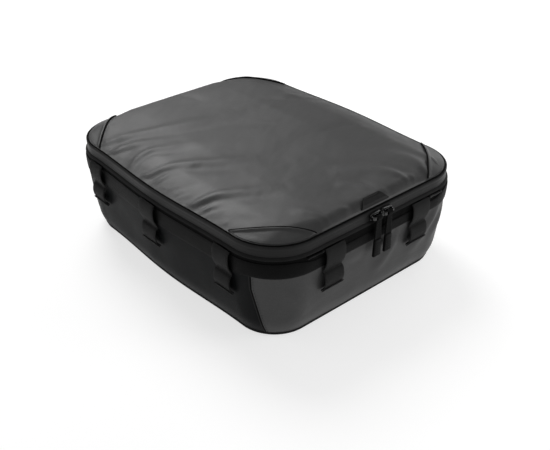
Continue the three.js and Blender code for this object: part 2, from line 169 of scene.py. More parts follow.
def crown(inset):
    """Height of the lid's outer surface at a distance in from the seam."""
    edge = ramp(inset, 0, EDGE_INSET)
    middle = ramp(inset, EDGE_INSET, MIDDLE_INSET)
    return SEAM_Z + EDGE_RISE * (1 - (1 - edge) ** 2) + MIDDLE_RISE * (1 - (1 - middle) ** 2)


SEAM_LINE = outline(np.linspace(0, LAST_STATION, 1200))


def inset_of(plan):
    """Distance from plan points to the seam's outline."""
    flat = plan.reshape(-1, 2)
    parts = [np.linalg.norm(part[:, None] - SEAM_LINE[None], axis=-1).min(axis=1)
             for part in np.array_split(flat, len(flat) // 2000 + 1)]
    return np.concatenate(parts).reshape(plan.shape[:-1])


# ---- Shapes ----


def at_height(plan, z=0.0):
    """Plan points as 3-D points at given heights."""
    z = np.broadcast_to(z, plan.shape[:-1])
    return np.concatenate([plan, z[..., None]], axis=-1)


def circle(radius, count=10, middle=(0, 0)):
    """Points round a circle."""
    turn = np.linspace(0, 2 * math.pi, count, endpoint=False)
    return np.array(middle) + radius * np.stack([np.cos(turn), np.sin(turn)], axis=-1)


def unit(vectors):
    return vectors / np.linalg.norm(vectors, axis=-1, keepdims=True)


class Shape:
    """Points, faces and the texture place of every face corner."""

    def __init__(self, points, faces, places):
        self.points = np.asarray(points, float).reshape(-1, 3)
        self.faces = faces
        self.places = places

    def __add__(self, other):
        return joined([self, other])

    def shut(self, face):
        """Adds a face that has no place in a texture."""
        self.faces.append(face)
        self.places.append([[0, 0]] * len(face))

    def placed(self, matrix):
        rotation = np.array(matrix.to_3x3())
        return Shape(self.points @ rotation.T + np.array(matrix.translation), self.faces, self.places)


def joined(shapes):
    faces, places, shift = [], [], 0
    for shape in shapes:
        faces += [[corner + shift for corner in face] for face in shape.faces]
        places += shape.places
        shift += len(shape.points)
    return Shape(np.concatenate([shape.points for shape in shapes]), faces, places)


def travelled(points, axis):
    """Mean distance covered along one axis of a grid of points."""
    steps = np.linalg.norm(np.diff(points, axis=axis), axis=-1).mean(axis=1 - axis)
    return np.concatenate([[0], np.cumsum(steps)])


def grid(points, round_rows=False, round_columns=False):
    """Quads over an (n, m, 3) array of points, with texture places in metres both ways."""
    rows, cols = points.shape[:2]
    closed = np.concatenate([points, points[:1]], axis=0) if round_rows else points
    closed = np.concatenate([closed, closed[:, :1]], axis=1) if round_columns else closed
    down, across = travelled(closed, 0), travelled(closed, 1)
    i, k = np.meshgrid(np.arange(closed.shape[0] - 1), np.arange(closed.shape[1] - 1), indexing="ij")
    corners = [(i, k), (i + 1, k), (i + 1, k + 1), (i, k + 1)]
    faces = np.stack([(a % rows) * cols + b % cols for a, b in corners], axis=-1).reshape(-1, 4)
    places = np.stack([np.stack([down[a], across[b]], -1) for a, b in corners], axis=-2)
    return Shape(points, faces.tolist(), places.reshape(-1, 4, 2).tolist())


def tube(rings, closed=False):
    """A skin over (n, m, 3) closed rings. Open ends are shut by strips between their two sides."""
    count, around = rings.shape[:2]
    shape = grid(rings, round_rows=closed, round_columns=True)
    if closed:
        return shape
    for first in (0, (count - 1) * around):
        for k in range(around // 2 - 1):
            shape.shut([first + k, first + k + 1, first + around - 2 - k, first + around - 1 - k])
    return shape


def sweep(stations, profile, closed=False):
    """A closed profile of (grow, z) points carried round the case's outline. The profile may differ
    at each station, as an (n, m, 2) array."""
    stations = np.asarray(stations)
    profile = np.broadcast_to(profile, (len(stations),) + np.shape(profile)[-2:])
    plan = outline(stations[:, None], profile[..., 0])
    return tube(at_height(plan, profile[..., 1]), closed)


def swept_round(spacing, profile):
    """A profile carried all the way round the case."""
    return sweep(whole_round(spacing), profile, closed=True)


def stack(rings, spacing):
    """A solid lofted through (grow, z) rings and shut by a flat fan at the first and the last."""
    rings = np.asarray(rings)
    stations = whole_round(spacing)
    plan = outline(stations[None, :], rings[:, :1])
    shape = grid(at_height(plan, rings[:, 1:]), round_columns=True)
    count = len(stations)
    centres = [[0, 0, rings[0][1]], [0, 0, rings[-1][1]]]
    middle = len(shape.points)
    shape.points = np.concatenate([shape.points, centres])
    for end, first in enumerate((0, (len(rings) - 1) * count)):
        for i in range(count):
            shape.shut([middle + end, first + i, first + (i + 1) % count])
    return shape


def rounded_box(half_a, half_b, radius, steps=3):
    """Points round a rectangle with rounded corners, an even number in mirrored order."""
    points = []
    for quarter, (a, b) in enumerate([(1, 1), (-1, 1), (-1, -1), (1, -1)]):
        for step in range(steps + 1):
            angle = (quarter + step / steps) * math.pi / 2
            points.append([a * (half_a - radius) + radius * math.cos(angle),
                           b * (half_b - radius) + radius * math.sin(angle)])
    return np.array(points)


def band_profile(low, high, inner, outer, radius=0.35 * MM):
    """A rounded strip between two levels and two grows."""
    box = rounded_box((outer - inner) / 2, (high - low) / 2, radius)
    return box + ((outer + inner) / 2, (high + low) / 2)


def spline(points, steps=6):
    """A Catmull-Rom curve through points."""
    points = np.asarray(points, float)
    padded = np.concatenate([[2 * points[0] - points[1]], points, [2 * points[-1] - points[-2]]])
    t = np.linspace(0, 1, steps, endpoint=False)[:, None]
    parts = []
    for a, b, c, d in zip(padded, padded[1:], padded[2:], padded[3:]):
        parts.append(0.5 * (2 * b + (c - a) * t + (2 * a - 5 * b + 4 * c - d) * t ** 2
                            + (3 * b - a - 3 * c + d) * t ** 3))
    return np.concatenate(parts + [points[-1:]])


def side_normals(line):
    """Unit normals to the right of a 2-D line's direction."""
    along = unit(np.gradient(line, axis=0))
    return np.stack([along[:, 1], -along[:, 0]], axis=1)


def ribbon_profile(line, thickness):
    """A closed profile that runs out along one face of a line and back along the other."""
    out = side_normals(line) * thickness / 2
    return np.concatenate([line + out, (line - out)[::-1]])


def plain_faces(points, faces):
    """A shape whose faces have no place in a texture."""
    return Shape(points, faces, [[[0, 0]] * len(face) for face in faces])


def prism(plan, low, high):
    """A solid between two levels over a convex outline given as [x, y] points."""
    count = len(plan)
    foot = [[x, y, low] for x, y in plan]
    top = [[x, y, high] for x, y in plan]
    sides = [[i, (i + 1) % count, count + (i + 1) % count, count + i] for i in range(count)]
    return plain_faces(foot + top, sides + [list(range(count))[::-1], list(range(count, 2 * count))])


def softened(shape, radius, segments=3):
    """The shape with its sharp edges rounded."""
    mesh = bmesh.new()
    corners = [mesh.verts.new(point) for point in shape.points]
    for face in shape.faces:
        mesh.faces.new([corners[i] for i in face])
    bmesh.ops.recalc_face_normals(mesh, faces=mesh.faces)
    sharp = [edge for edge in mesh.edges if edge.calc_face_angle(0) > 0.5]
    bmesh.ops.bevel(mesh, geom=sharp, offset=radius, segments=segments, affect="EDGES", profile=0.5)
    mesh.verts.index_update()
    points = [vertex.co[:] for vertex in mesh.verts]
    faces = [[vertex.index for vertex in face.verts] for face in mesh.faces]
    mesh.free()
    return plain_faces(points, faces)


def stitches(line, out, length=2.2 * MM, gap=1.1 * MM, radius=0.24 * MM):
    """A row of thread stitches along a 3-D line, lying on a surface whose outward direction is out."""
    line = np.asarray(line, float)
    out = np.broadcast_to(out, line.shape)
    reach = reach_along(line)
    count = max(int(reach[-1] / (length + gap)), 1)
    middles = (np.arange(count) + 0.5) * reach[-1] / count

    def at(values, distance):
        return np.stack([np.interp(distance, reach, values[:, axis]) for axis in range(3)], axis=1)

    centre = at(line, middles)
    along = unit(at(line, middles + length / 4) - at(line, middles - length / 4))
    across = unit(np.cross(along, at(out, middles)))
    up = np.cross(across, along)
    lengthwise = np.linspace(-1, 1, 5)[:, None, None]
    size = radius * np.sqrt(np.clip(1.03 - lengthwise ** 2, 0, 1))
    around = size * circle(1, 6)
    pieces = []
    for i in range(count):
        section = around[..., :1] * across[i] + around[..., 1:] * up[i]
        pieces.append(tube(centre[i] + lengthwise * along[i] * length / 2 + section))
    return joined(pieces)


def cord(line, radius):
    """A round cord along a 3-D line that nowhere runs straight up."""
    along = unit(np.gradient(line, axis=0))
    across = unit(np.cross(along, (0, 0, 1)))
    up = np.cross(across, along)
    around = circle(radius, 8)
    return tube(line[:, None] + around[:, :1] * across[:, None] + around[:, 1:] * up[:, None])


def wobble(points, size, seed):
    """Smooth random values from -1 to 1 over 3-D points, the same on each run."""
    shift = Vector((seed * 7.3, seed * 3.1, seed * 5.7))
    flat = np.asarray(points).reshape(-1, 3)
    values = [noise.noise(Vector(point / size) + shift) for point in flat]
    return np.array(values).reshape(np.shape(points)[:-1])


# ---- Objects ----


def linked(name, data):
    """A new object in the scene."""
    thing = bpy.data.objects.new(name, data)
    bpy.context.scene.collection.objects.link(thing)
    return thing


def to_mesh(name, points, faces):
    mesh = bpy.data.meshes.new(name)
    mesh.from_pydata(np.asarray(points).tolist(), [], faces)
    return mesh


def to_object(name, shape, finish):
    """A smooth object, creased where its faces meet at more than 50 degrees."""
    mesh = to_mesh(name, shape.points, shape.faces)
    layer = mesh.uv_layers.new(name="run")
    layer.data.foreach_set("uv", np.concatenate([np.ravel(place) for place in shape.places]))
    work = bmesh.new()
    work.from_mesh(mesh)
    bmesh.ops.recalc_face_normals(work, faces=work.faces)
    work.to_mesh(mesh)
    work.free()
    mesh.shade_smooth()
    mesh.set_sharp_from_angle(angle=math.radians(50))
    mesh.materials.append(finish)
    return linked(name, mesh)


def add_piece(name, shape, finish, body, stands_for=None, rides=True):
    """A piece of the object. Its finish is a (slot, material) pair."""
    slot, surface = finish
    piece = to_object(name, shape, surface)
    if stands_for:
        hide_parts(*([stands_for] if isinstance(stands_for, str) else stands_for))
    if rides:
        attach(piece, body)
    return piece


# ---- Finishes ----


class Surface:
    """Builds a procedural material in small steps. Sizes are in metres."""

    def __init__(self, name, **settings):
        self.material = bpy.data.materials.new(name)
        self.material.use_nodes = True
        self.tree = self.material.node_tree
        self.shader = self.tree.nodes["Principled BSDF"]
        for key, value in settings.items():
            self.shader.inputs[key].default_value = value
        coordinates = self.tree.nodes.new("ShaderNodeTexCoord")
        self.place = coordinates.outputs["Object"]
        self.run = coordinates.outputs["UV"]

    def add(self, kind, inputs, **settings):
        node = self.tree.nodes.new("ShaderNode" + kind)
        for key, value in settings.items():
            setattr(node, key, value)
        for key, value in inputs.items():
            if isinstance(value, bpy.types.NodeSocket):
                self.tree.links.new(value, node.inputs[key])
            else:
                node.inputs[key].default_value = value
        return node

    def math(self, operation, a, b=0.0):
        return self.add("Math", {0: a, 1: b}, operation=operation).outputs[0]

    def noise(self, size, detail=2.0, where=None, stretch=(1, 1, 1), turn=0.0):
        """Smooth noise from 0 to 1 with features of a size, longer along X or Y where stretched."""
        scale = tuple(1 / size / part for part in stretch)
        mapping = self.add("Mapping", {"Vector": where or self.place, "Scale": scale,
                                       "Rotation": (0, 0, turn)})
        inputs = {"Vector": mapping.outputs[0], "Scale": 1.0, "Detail": detail}
        return self.add("TexNoise", inputs).outputs["Fac"]

    def weave(self, pitch_along, pitch_across):
        """Threads that pass over and under each other, from 0 to 1."""
        parts = self.add("SeparateXYZ", {0: self.run})
        across = self.math("SINE", self.math("MULTIPLY", parts.outputs[0], math.pi / pitch_along))
        along = self.math("SINE", self.math("MULTIPLY", parts.outputs[1], math.pi / pitch_across))
        return self.math("MULTIPLY_ADD", self.math("MULTIPLY", across, along), 0.5)

    def spread(self, value, low, high, to_low=0.0, to_high=1.0):
        inputs = {"Value": value, "From Min": low, "From Max": high, "To Min": to_low, "To Max": to_high}
        return self.add("MapRange", inputs).outputs["Result"]

    def blend(self, factor, first, second):
        node = self.add("Mix", {"Factor": factor}, data_type="RGBA")
        for index, value in ((6, first), (7, second)):
            if isinstance(value, bpy.types.NodeSocket):
                self.tree.links.new(value, node.inputs[index])
            else:
                node.inputs[index].default_value = (*value, 1)
        return node.outputs[2]

    def edges(self, share):
        """A share along outward edges, where things rub, and 0 elsewhere."""
        pointed = self.add("NewGeometry", {}).outputs["Pointiness"]
        return self.math("MULTIPLY", self.spread(pointed, 0.56, 0.7), share)

    def finish(self, color, roughness, heights):
        """Links the colour, the roughness and bumps given as (height, depth) from coarse to fine."""
        self.tree.links.new(color, self.shader.inputs["Base Color"])
        self.tree.links.new(roughness, self.shader.inputs["Roughness"])
        normal = None
        for height, depth in heights:
            inputs = {"Height": height, "Distance": depth}
            if normal:
                inputs["Normal"] = normal
            normal = self.add("Bump", inputs).outputs[0]
        self.tree.links.new(normal, self.shader.inputs["Normal"])
        return self.material


# The range that most of a noise's values fall in.
MIDDLING = (0.3, 0.7)


def grey(value, warmth=0.0):
    """A near-neutral colour: warmth below 0 is bluish."""
    return (value * (1 + warmth), value, value * (1 - warmth))


def coated_fabric(name, dark, light, roughness, index, crease=0.0, warmth=0.0):
    """Woven nylon with a satin coating: a fine grain over a tight weave."""
    surface = Surface(name, **{"IOR": index})
    cloudy = surface.noise(45 * MM, 3)
    grain = surface.noise(1.0 * MM, 3)
    weave = surface.weave(0.5 * MM, 0.5 * MM)
    tone = surface.blend(surface.spread(cloudy, *MIDDLING), grey(dark, warmth), grey(light, warmth))
    specks = surface.spread(grain, 0.35, 0.75, 0.0, 0.35)
    tone = surface.blend(specks, tone, grey(light * 1.5, warmth))
    tone = surface.blend(surface.edges(0.35), tone, grey(light * 2, warmth))
    matt = surface.spread(cloudy, 0.25, 0.75, roughness - 0.05, roughness + 0.07)
    pucker = surface.noise(7 * MM, 3, stretch=(3, 1, 1), turn=math.radians(40))
    heights = [(pucker, crease * MM), (weave, 0.03 * MM), (grain, 0.12 * MM)]
    return surface.finish(tone, matt, heights)


def webbing_finish(name, dark, light, roughness, rib, index=1.15):
    """Flat webbing: ribs of yarn across its width, lighter where its edges rub."""
    surface = Surface(name, **{"IOR": index})
    weave = surface.weave(rib, rib * 0.6)
    cloudy = surface.noise(22 * MM, 2)
    fluff = surface.noise(0.4 * MM, 2)
    tone = surface.blend(surface.spread(cloudy, *MIDDLING), grey(dark), grey(light))
    tone = surface.blend(surface.math("MULTIPLY", weave, 0.3), tone, grey(light * 1.8))
    tone = surface.blend(surface.edges(0.2), tone, grey(light * 2))
    matt = surface.spread(fluff, 0.2, 0.8, roughness - 0.08, roughness + 0.08)
    return surface.finish(tone, matt, [(weave, 0.12 * MM), (fluff, 0.05 * MM)])


def moulded_finish(name, dark, light, roughness, grain_depth, index=1.2):
    """Moulded or cast parts: a fine grain, handling smears and rubbed edges."""
    surface = Surface(name, **{"IOR": index})
    smears = surface.noise(6 * MM, 3)
    grain = surface.noise(0.3 * MM, 1)
    tone = surface.blend(surface.spread(smears, *MIDDLING), grey(dark), grey(light))
    tone = surface.blend(surface.edges(0.5), tone, grey(light * 3))
    matt = surface.spread(smears, *MIDDLING, roughness - 0.06, roughness + 0.1)
    return surface.finish(tone, matt, [(smears, 0.04 * MM), (grain, grain_depth)])


def foam_finish(name):
    surface = Surface(name)
    voronoi = surface.add("TexVoronoi", {"Vector": surface.place, "Scale": 1 / (0.8 * MM)})
    cells = voronoi.outputs["Distance"]
    cloudy = surface.noise(15 * MM, 2)
    tone = surface.blend(cells, grey(0.02), grey(0.045))
    matt = surface.spread(cloudy, 0.2, 0.8, 0.85, 1.0)
    return surface.finish(tone, matt, [(cells, 0.3 * MM)])


def lining_finish(name):
    """Light knitted lining that lies a little unevenly."""
    surface = Surface(name, **{"Sheen Weight": 0.3, "Sheen Roughness": 0.5})
    weave = surface.weave(0.9 * MM, 0.6 * MM)
    cloudy = surface.noise(30 * MM, 3)
    fluff = surface.noise(0.5 * MM, 2)
    tone = surface.blend(surface.spread(cloudy, *MIDDLING), grey(0.10), grey(0.13))
    tone = surface.blend(surface.math("MULTIPLY", weave, 0.25), tone, grey(0.22))
    matt = surface.spread(fluff, 0.2, 0.8, 0.75, 0.95)
    return surface.finish(tone, matt, [(cloudy, 0.8 * MM), (weave, 0.12 * MM), (fluff, 0.05 * MM)])


# Each finish is a slot and a material. The materials take their darkest and lightest tone, and their
# roughness.
COATED = ("coated_fabric", coated_fabric("coated_fabric", 0.034, 0.041, 0.44, index=1.38, crease=0.15))
END_WALL = ("coated_fabric", coated_fabric("end_wall_fabric", 0.028, 0.037, 0.5, index=1.35, crease=0.25))
SIDE = ("side_fabric", coated_fabric("side_fabric", 0.0035, 0.0055, 0.45, index=1.12, warmth=-0.08))
TAPE = ("zip_tape", coated_fabric("zip_tape", 0.012, 0.016, 0.4, index=1.2))
FOAM = ("foam", foam_finish("foam"))
LINING = ("lining", lining_finish("lining"))
BINDING = ("binding", webbing_finish("binding", 0.012, 0.017, 0.6, rib=0.8 * MM))
# Black webbing for the lid's piping, also used for the cords and strips painted as shade.
PIPING_AND_SHADE = ("binding", webbing_finish("piping_and_painted_shade", 0.002, 0.004, 0.7, rib=0.6 * MM, index=1.1))
END_THREAD = ("binding", webbing_finish("end_thread", 0.03, 0.04, 0.6, rib=0.3 * MM))
THREAD = ("binding", webbing_finish("thread", 0.02, 0.03, 0.55, rib=0.3 * MM))
WEBBING = ("webbing", webbing_finish("webbing", 0.0025, 0.004, 0.5, rib=1.1 * MM, index=1.12))
STRAP = ("strap", webbing_finish("strap", 0.011, 0.015, 0.62, rib=0.9 * MM))
PULL = ("strap", webbing_finish("pull_webbing", 0.003, 0.005, 0.62, rib=0.8 * MM, index=1.12))
RUBBER = ("rubber", moulded_finish("rubber", 0.015, 0.021, 0.5, grain_depth=0.05 * MM))
GRIP = ("rubber", moulded_finish("grip", 0.002, 0.004, 0.42, grain_depth=0.05 * MM, index=1.14))
COIL = ("coil", moulded_finish("coil", 0.006, 0.010, 0.35, grain_depth=0.01 * MM))
PLASTIC = ("plastic", moulded_finish("plastic", 0.002, 0.004, 0.35, grain_depth=0.005 * MM))
METAL = ("slider_metal",
         moulded_finish("slider_metal", 0.002, 0.004, 0.15, grain_depth=0.005 * MM, index=1.55))


# ---- Camera ----

CAMERA_AZIMUTH = math.radians(-41.33)
CAMERA_ELEVATION = math.radians(32.01)
CAMERA_DISTANCE = 906 * MM
CAMERA_RIGHT = 15.2 * MM
CAMERA_DOWN = 85.8 * MM
CAMERA_LENS = 54.4


def add_camera():
    """Looks past the front left corner of the lid, aimed a little below and right of the lid's middle."""
    data = bpy.data.cameras.new("camera")
    data.lens = CAMERA_LENS
    camera = linked("camera", data)
    camera.rotation_euler = (math.pi / 2 - CAMERA_ELEVATION, 0, CAMERA_AZIMUTH)
    turn = camera.rotation_euler.to_matrix()
    offset = turn @ Vector((CAMERA_RIGHT, -CAMERA_DOWN, CAMERA_DISTANCE))
    camera.location = Vector((0, 0, SEAM_Z)) + offset
    bpy.context.scene.camera = camera


# ---- Folds and swelling ----


def ridge(plan, path, width, height, lean=0.5):
    """Height of a soft fold over plan points. It follows a path, widens along it and fades out, with
    a shallow valley on the right-hand side of the path."""
    line = spline(path, 8)
    normals = side_normals(line)
    flat = plan.reshape(-1, 2)
    gaps = flat[:, None] - line[None]
    nearest = np.argmin((gaps ** 2).sum(axis=-1), axis=1)
    picked = gaps[np.arange(len(flat)), nearest]
    distance = np.linalg.norm(picked, axis=1)
    side = (picked * normals[nearest]).sum(axis=1)
    share = nearest / (len(line) - 1)
    wide = width * (0.4 + 1.0 * share)
    swell = np.sin(math.pi * (0.1 + 0.9 * share))
    offset = side - 1.5 * wide
    beyond = np.maximum(distance ** 2 - side ** 2, 0)
    hill = np.exp(-(distance / wide) ** 2)
    valley = np.exp(-(offset ** 2 + beyond) / wide ** 2)
    return (height * swell * (hill - lean * valley)).reshape(plan.shape[:-1])


def folded(plan, folds):
    """The sum of the folds in a list of (path, width, height), all in millimetres."""
    total = np.zeros(plan.shape[:-1])
    for path, width, height in folds:
        total += ridge(plan, np.array(path) * MM, width * MM, height * MM)
    return total


def settling(points, slack, pressure, reach):
    """How far each point of a grid of cloth, held along its rim, moves as the cloth swells and crumples.
    The moves are scaled so that the longest is reach."""
    shape = grid(points)
    cloth = linked("cloth", to_mesh("cloth", shape.points, shape.faces))
    index = np.arange(len(shape.points)).reshape(points.shape[:2])
    rim = np.concatenate([index[0], index[-1], index[1:-1, 0], index[1:-1, -1]])
    cloth.vertex_groups.new(name="rim").add(rim.tolist(), 1.0, "REPLACE")
    modifier = cloth.modifiers.new("cloth", "CLOTH")
    settings = modifier.settings
    settings.vertex_group_mass = "rim"
    settings.quality = 6
    settings.shrink_min = -slack
    settings.use_pressure = True
    settings.uniform_pressure_force = pressure
    settings.bending_stiffness = 2.0
    settings.effector_weights.gravity = 0
    modifier.point_cache.frame_start = 1
    modifier.point_cache.frame_end = 20
    for step in range(1, 21):
        bpy.context.scene.frame_set(step)
    evaluated = cloth.evaluated_get(bpy.context.evaluated_depsgraph_get())
    result = np.array([vertex.co for vertex in evaluated.data.vertices])
    bpy.data.objects.remove(cloth)
    bpy.context.scene.frame_set(1)
    moved = result - shape.points
    return (moved * reach / np.linalg.norm(moved, axis=1).max()).reshape(points.shape)


def nearby(plan, known_plan, values):
    """Values at plan points, averaged from the nearest four points where they are known."""
    gaps = np.linalg.norm(plan.reshape(-1, 1, 2) - known_plan.reshape(1, -1, 2), axis=-1)
    nearest = np.argpartition(gaps, 4, axis=1)[:, :4]
    weights = 1 / (np.take_along_axis(gaps, nearest, 1) + 0.1 * MM)
    average = (weights * values.reshape(-1)[nearest]).sum(axis=1) / weights.sum(axis=1)
    return average.reshape(plan.shape[:-1])


def thickened(points, inward):
    """A closed sheet between a grid of points and the same grid moved inward."""
    rows, cols = points.shape[:2]
    outer, inner = grid(points), grid(points + inward)
    sheet = outer + inner
    count = rows * cols
    index = np.arange(count).reshape(rows, cols)
    rim = np.concatenate([index[0], index[1:, -1], index[-1, -2::-1], index[-2:0:-1, 0]]).tolist()
    for a, b in zip(rim, rim[1:] + rim[:1]):
        sheet.shut([a, b, b + count, a + count])
    return sheet


def grid_normals(points):
    return unit(np.cross(np.gradient(points, axis=0), np.gradient(points, axis=1)))


# ---- Lid ----

# Soft folds of the lid's fabric, in millimetres: a path over the plan, a width and a height. Most start
# at the left seam and run towards the front right corner, and the others at the right and front seams.
LID_FOLDS = [
    ([(-139, 92), (-122, 88), (-100, 78), (-60, 66)], 8, 0.8),
    ([(-136, 118), (-90, 97), (-26, 78), (24, 74)], 11, 0.9),
    ([(-139, 50), (-110, 58), (-86, 49), (-50, 30)], 7, 0.8),
    ([(-141, 24), (-110, 14), (-70, -12), (-30, -34)], 9, 1.1),
    ([(-141, 2), (-120, 4), (-96, -8)], 5, 0.5),
    ([(-142, -56), (-120, -59), (-91, -75), (-50, -98)], 8, 1.1),
    ([(-141, -70), (-124, -72), (-105, -82)], 4, 0.5),
    ([(-142, -97), (-124, -103)], 3, 0.4),
    ([(-141, -120), (-128, -123)], 3, 0.35),
    ([(74, 80), (100, 68), (122, 58)], 9, 0.5),
    ([(52, -164), (50, -146), (36, -126), (2, -98)], 8, 0.9),
    ([(82, -168), (86, -150), (84, -130), (62, -96)], 9, 0.9),
    ([(104, -166), (108, -146), (100, -124)], 6, 0.6),
    ([(10, -156), (4, -140), (-10, -122)], 6, 0.6),
    ([(-60, -158), (-66, -146), (-78, -134)], 6, 0.4),
]
LID_FOLD_STRENGTH = 1.9


def seam_wrinkles():
    """Short wrinkles that leave the left and front seams at a slant, spaced a little unevenly."""
    draw = np.random.default_rng(4)
    wrinkles = []
    left, front = -142, -171
    for y in np.arange(-128, 130, 11):
        start = y + draw.uniform(-4, 4)
        length = draw.uniform(9, 24)
        path = [(left, start), (left + 0.5 * length, start), (left + length, start - 0.35 * length)]
        wrinkles.append((path, draw.uniform(1.8, 3.4), draw.uniform(0.12, 0.4)))
    for x in np.arange(-104, 116, 15):
        start = x + draw.uniform(-6, 6)
        length = draw.uniform(9, 19)
        path = [(start, front), (start + 3, front + 0.5 * length), (start - 2, front + length)]
        wrinkles.append((path, draw.uniform(2.4, 4.5), draw.uniform(0.2, 0.7)))
    return wrinkles


def lid_plan(columns_across, rows_along, grow):
    """Plan points of a grid stretched over the outline, from left to right and front to rear."""

    def border(start, end, count):
        fine = np.linspace(start, end, 1500)
        reach = reach_along(outline(fine, grow))
        even = np.interp(np.linspace(0, reach[-1], count), reach, fine)
        return outline(even, grow)

    front = border(3.5, 5.5, columns_across)[:, None]
    rear = border(10.5, 7.5, columns_across)[:, None]
    left = border(3.5, 1.5, rows_along)[None]
    right = border(5.5, 7.5, rows_along)[None]
    s = np.linspace(0, 1, columns_across)[:, None, None]
    t = np.linspace(0, 1, rows_along)[None, :, None]
    corners = ((1 - s) * (1 - t) * front[0] + s * (1 - t) * front[-1]
               + (1 - s) * t * rear[0] + s * t * rear[-1])
    return (1 - t) * front + t * rear + (1 - s) * left + s * right - corners


# The lid's climb from the seam is this many times wider along its sides than at its ends.
SIDE_CLIMB = 3.8


def lid_rise(plan, inset):
    """Height of the smooth lid. It rolls over at its two ends and slopes gently to its long sides."""
    beside = ramp(np.abs(plan[..., 0]), 0.45 * SEAM_X, 0.85 * SEAM_X)
    at_corner = ramp(np.abs(plan[..., 1]), STRAIGHT_Y, STRAIGHT_Y + 30 * MM)
    broad = wobble(turned(at_height(plan)) * (0.6, 1, 1), 42 * MM, 3)
    smooth = crown(inset / (1 + (SIDE_CLIMB - 1) * beside * (1 - 0.4 * at_corner)))
    return smooth + 0.8 * MM * broad * ramp(inset, 0, 20 * MM)


def turned(points):
    """Points turned so that the lid's folds run along X."""
    return points @ np.array(Matrix.Rotation(math.radians(-30), 3, "Z")).T


def lid_folds(plan, inset):
    """What the folds, the wrinkles along the seams and a fine ripple add to the lid's height."""
    ripple = wobble(turned(at_height(plan)) * (0.3, 1, 1), 7 * MM, 1)
    folds = LID_FOLD_STRENGTH * folded(plan, LID_FOLDS) + folded(plan, seam_wrinkles())
    return folds * ramp(inset, 0, 6 * MM) + 0.12 * MM * ripple * ramp(inset, 0, 10 * MM)


def add_lid_panel():
    """The lid's fabric. Returns the plan points of its grid and how far the cloth rose at each."""
    plan = lid_plan(120, 144, -0.3 * MM)
    inset = inset_of(plan)
    points = at_height(plan, lid_rise(plan, inset))
    moves = settling(points, slack=0.015, pressure=0.4, reach=1.3 * MM)
    points += moves
    points[..., 2] += lid_folds(plan, inset)
    shape = thickened(points, np.array([0, 0, -1 * MM]))
    panel = add_piece("lid_top", shape, COATED, "lid", "lid_panel")
    return plan, moves[..., 2]


def add_lid_piping():
    low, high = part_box("lid_piping")
    profile = circle((high.z - low.z) / 2, middle=(0.3 * MM, SEAM_Z - 0.35 * MM))
    add_piece("lid_bead", swept_round(3 * MM, profile), PIPING_AND_SHADE, "lid", "lid_piping")


def add_lid_binding():
    foot = highest("upper_zip_tape").z - 0.4 * MM
    profile = band_profile(foot, highest("lid_binding").z, 0.6 * MM, ZIP_GROW + 0.2 * MM, 0.5 * MM)
    add_piece("lid_edge_binding", swept_round(3 * MM, profile), BINDING, "lid", "lid_binding")


def add_lid_foam():
    plan_grow = highest("lid_foam").y - SEAM_Y
    foot = lowest("lid_foam").z
    rings = [(plan_grow - 2 * MM, foot), (plan_grow, foot + 1.5 * MM), (plan_grow, foot + 5 * MM)]
    for inset in (14, 20, 30, 45, 70, 95):
        rings.append((-inset * MM, crown(inset / SIDE_CLIMB * MM) - 2.5 * MM))
    pad = add_piece("lid_pad", stack(rings, 6 * MM), FOAM, "lid", "lid_foam")


def add_lid_lining():
    """The fabric under the lid, which billows a little and is sewn round its rim."""
    low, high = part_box("lid_lining")
    grow = high.y - SEAM_Y
    plan = lid_plan(70, 84, grow)
    inset = inset_of(plan) + grow
    billow = 0.5 * MM * wobble(at_height(plan), 26 * MM, 5) - 0.6 * MM
    points = at_height(plan, low.z + billow * ramp(inset, 0, 12 * MM))
    shape = thickened(points, np.array([0, 0, high.z - low.z]))
    add_piece("lid_inner_fabric", shape, LINING, "lid", "lid_lining")
    line = at_height(outline(whole_round(3 * MM), grow - 3 * MM), low.z - 0.1 * MM)
    add_piece("lid_inner_stitches", stitches(line, (0, 0, -1)), THREAD, "lid")


# ---- Zip ----

ZIP_START, ZIP_END = 1, 8
TAPE_THICKNESS = 1 * MM
RIB_DEPTH = 0.16 * MM


def tape_profile(foot, top, edge_at_top):
    """A zip tape's section: two raised ribs on its face and a turned edge beside the teeth."""
    levels = np.linspace(0, 1, 15)
    toward_edge = levels if edge_at_top else 1 - levels
    ribs = RIB_DEPTH * np.maximum(np.sin(toward_edge * 2.5 * math.pi - 0.6), 0)
    outer = ZIP_GROW + ribs - 0.1 * MM * ramp(toward_edge, 0.9, 1) ** 2
    z = foot + (top - foot) * levels
    inner = np.full(len(z), ZIP_GROW - TAPE_THICKNESS)
    return np.concatenate([np.stack([outer, z], 1), np.stack([inner, z], 1)[::-1]])


def add_tape(node, name, body, upper):
    low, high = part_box(node)
    meet = 0.69 * MM
    tuck = 0.3 * MM
    foot = low.z - (meet if upper else tuck)
    top = high.z + (tuck if upper else meet)
    profile = tape_profile(foot, top, not upper)
    add_piece(name, sweep(columns(ZIP_START, ZIP_END, 3 * MM), profile), TAPE, body, node)


def add_coil(node, name, body):
    """The teeth: a strip whose inner face rises and falls along its length."""
    low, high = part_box(node)
    outer = ZIP_GROW - 1.3 * MM
    pitch = 2.4 * MM
    stations = columns(ZIP_START, ZIP_END, pitch / 4)
    bumps = np.tile([0.0, 0.5, 1.0, 0.5], len(stations) // 4 + 1)[:len(stations)]
    box = rounded_box(0.5, 0.5, 0.28, 1)
    depth = 0.5 * MM + 0.9 * MM * bumps
    grow = outer + (box[None, :, 0] - 0.5) * depth[:, None]
    z = np.broadcast_to((low.z + high.z) / 2 + box[None, :, 1] * (high.z - low.z), grow.shape)
    add_piece(name, sweep(stations, np.stack([grow, z], axis=-1)), COIL, body, node)


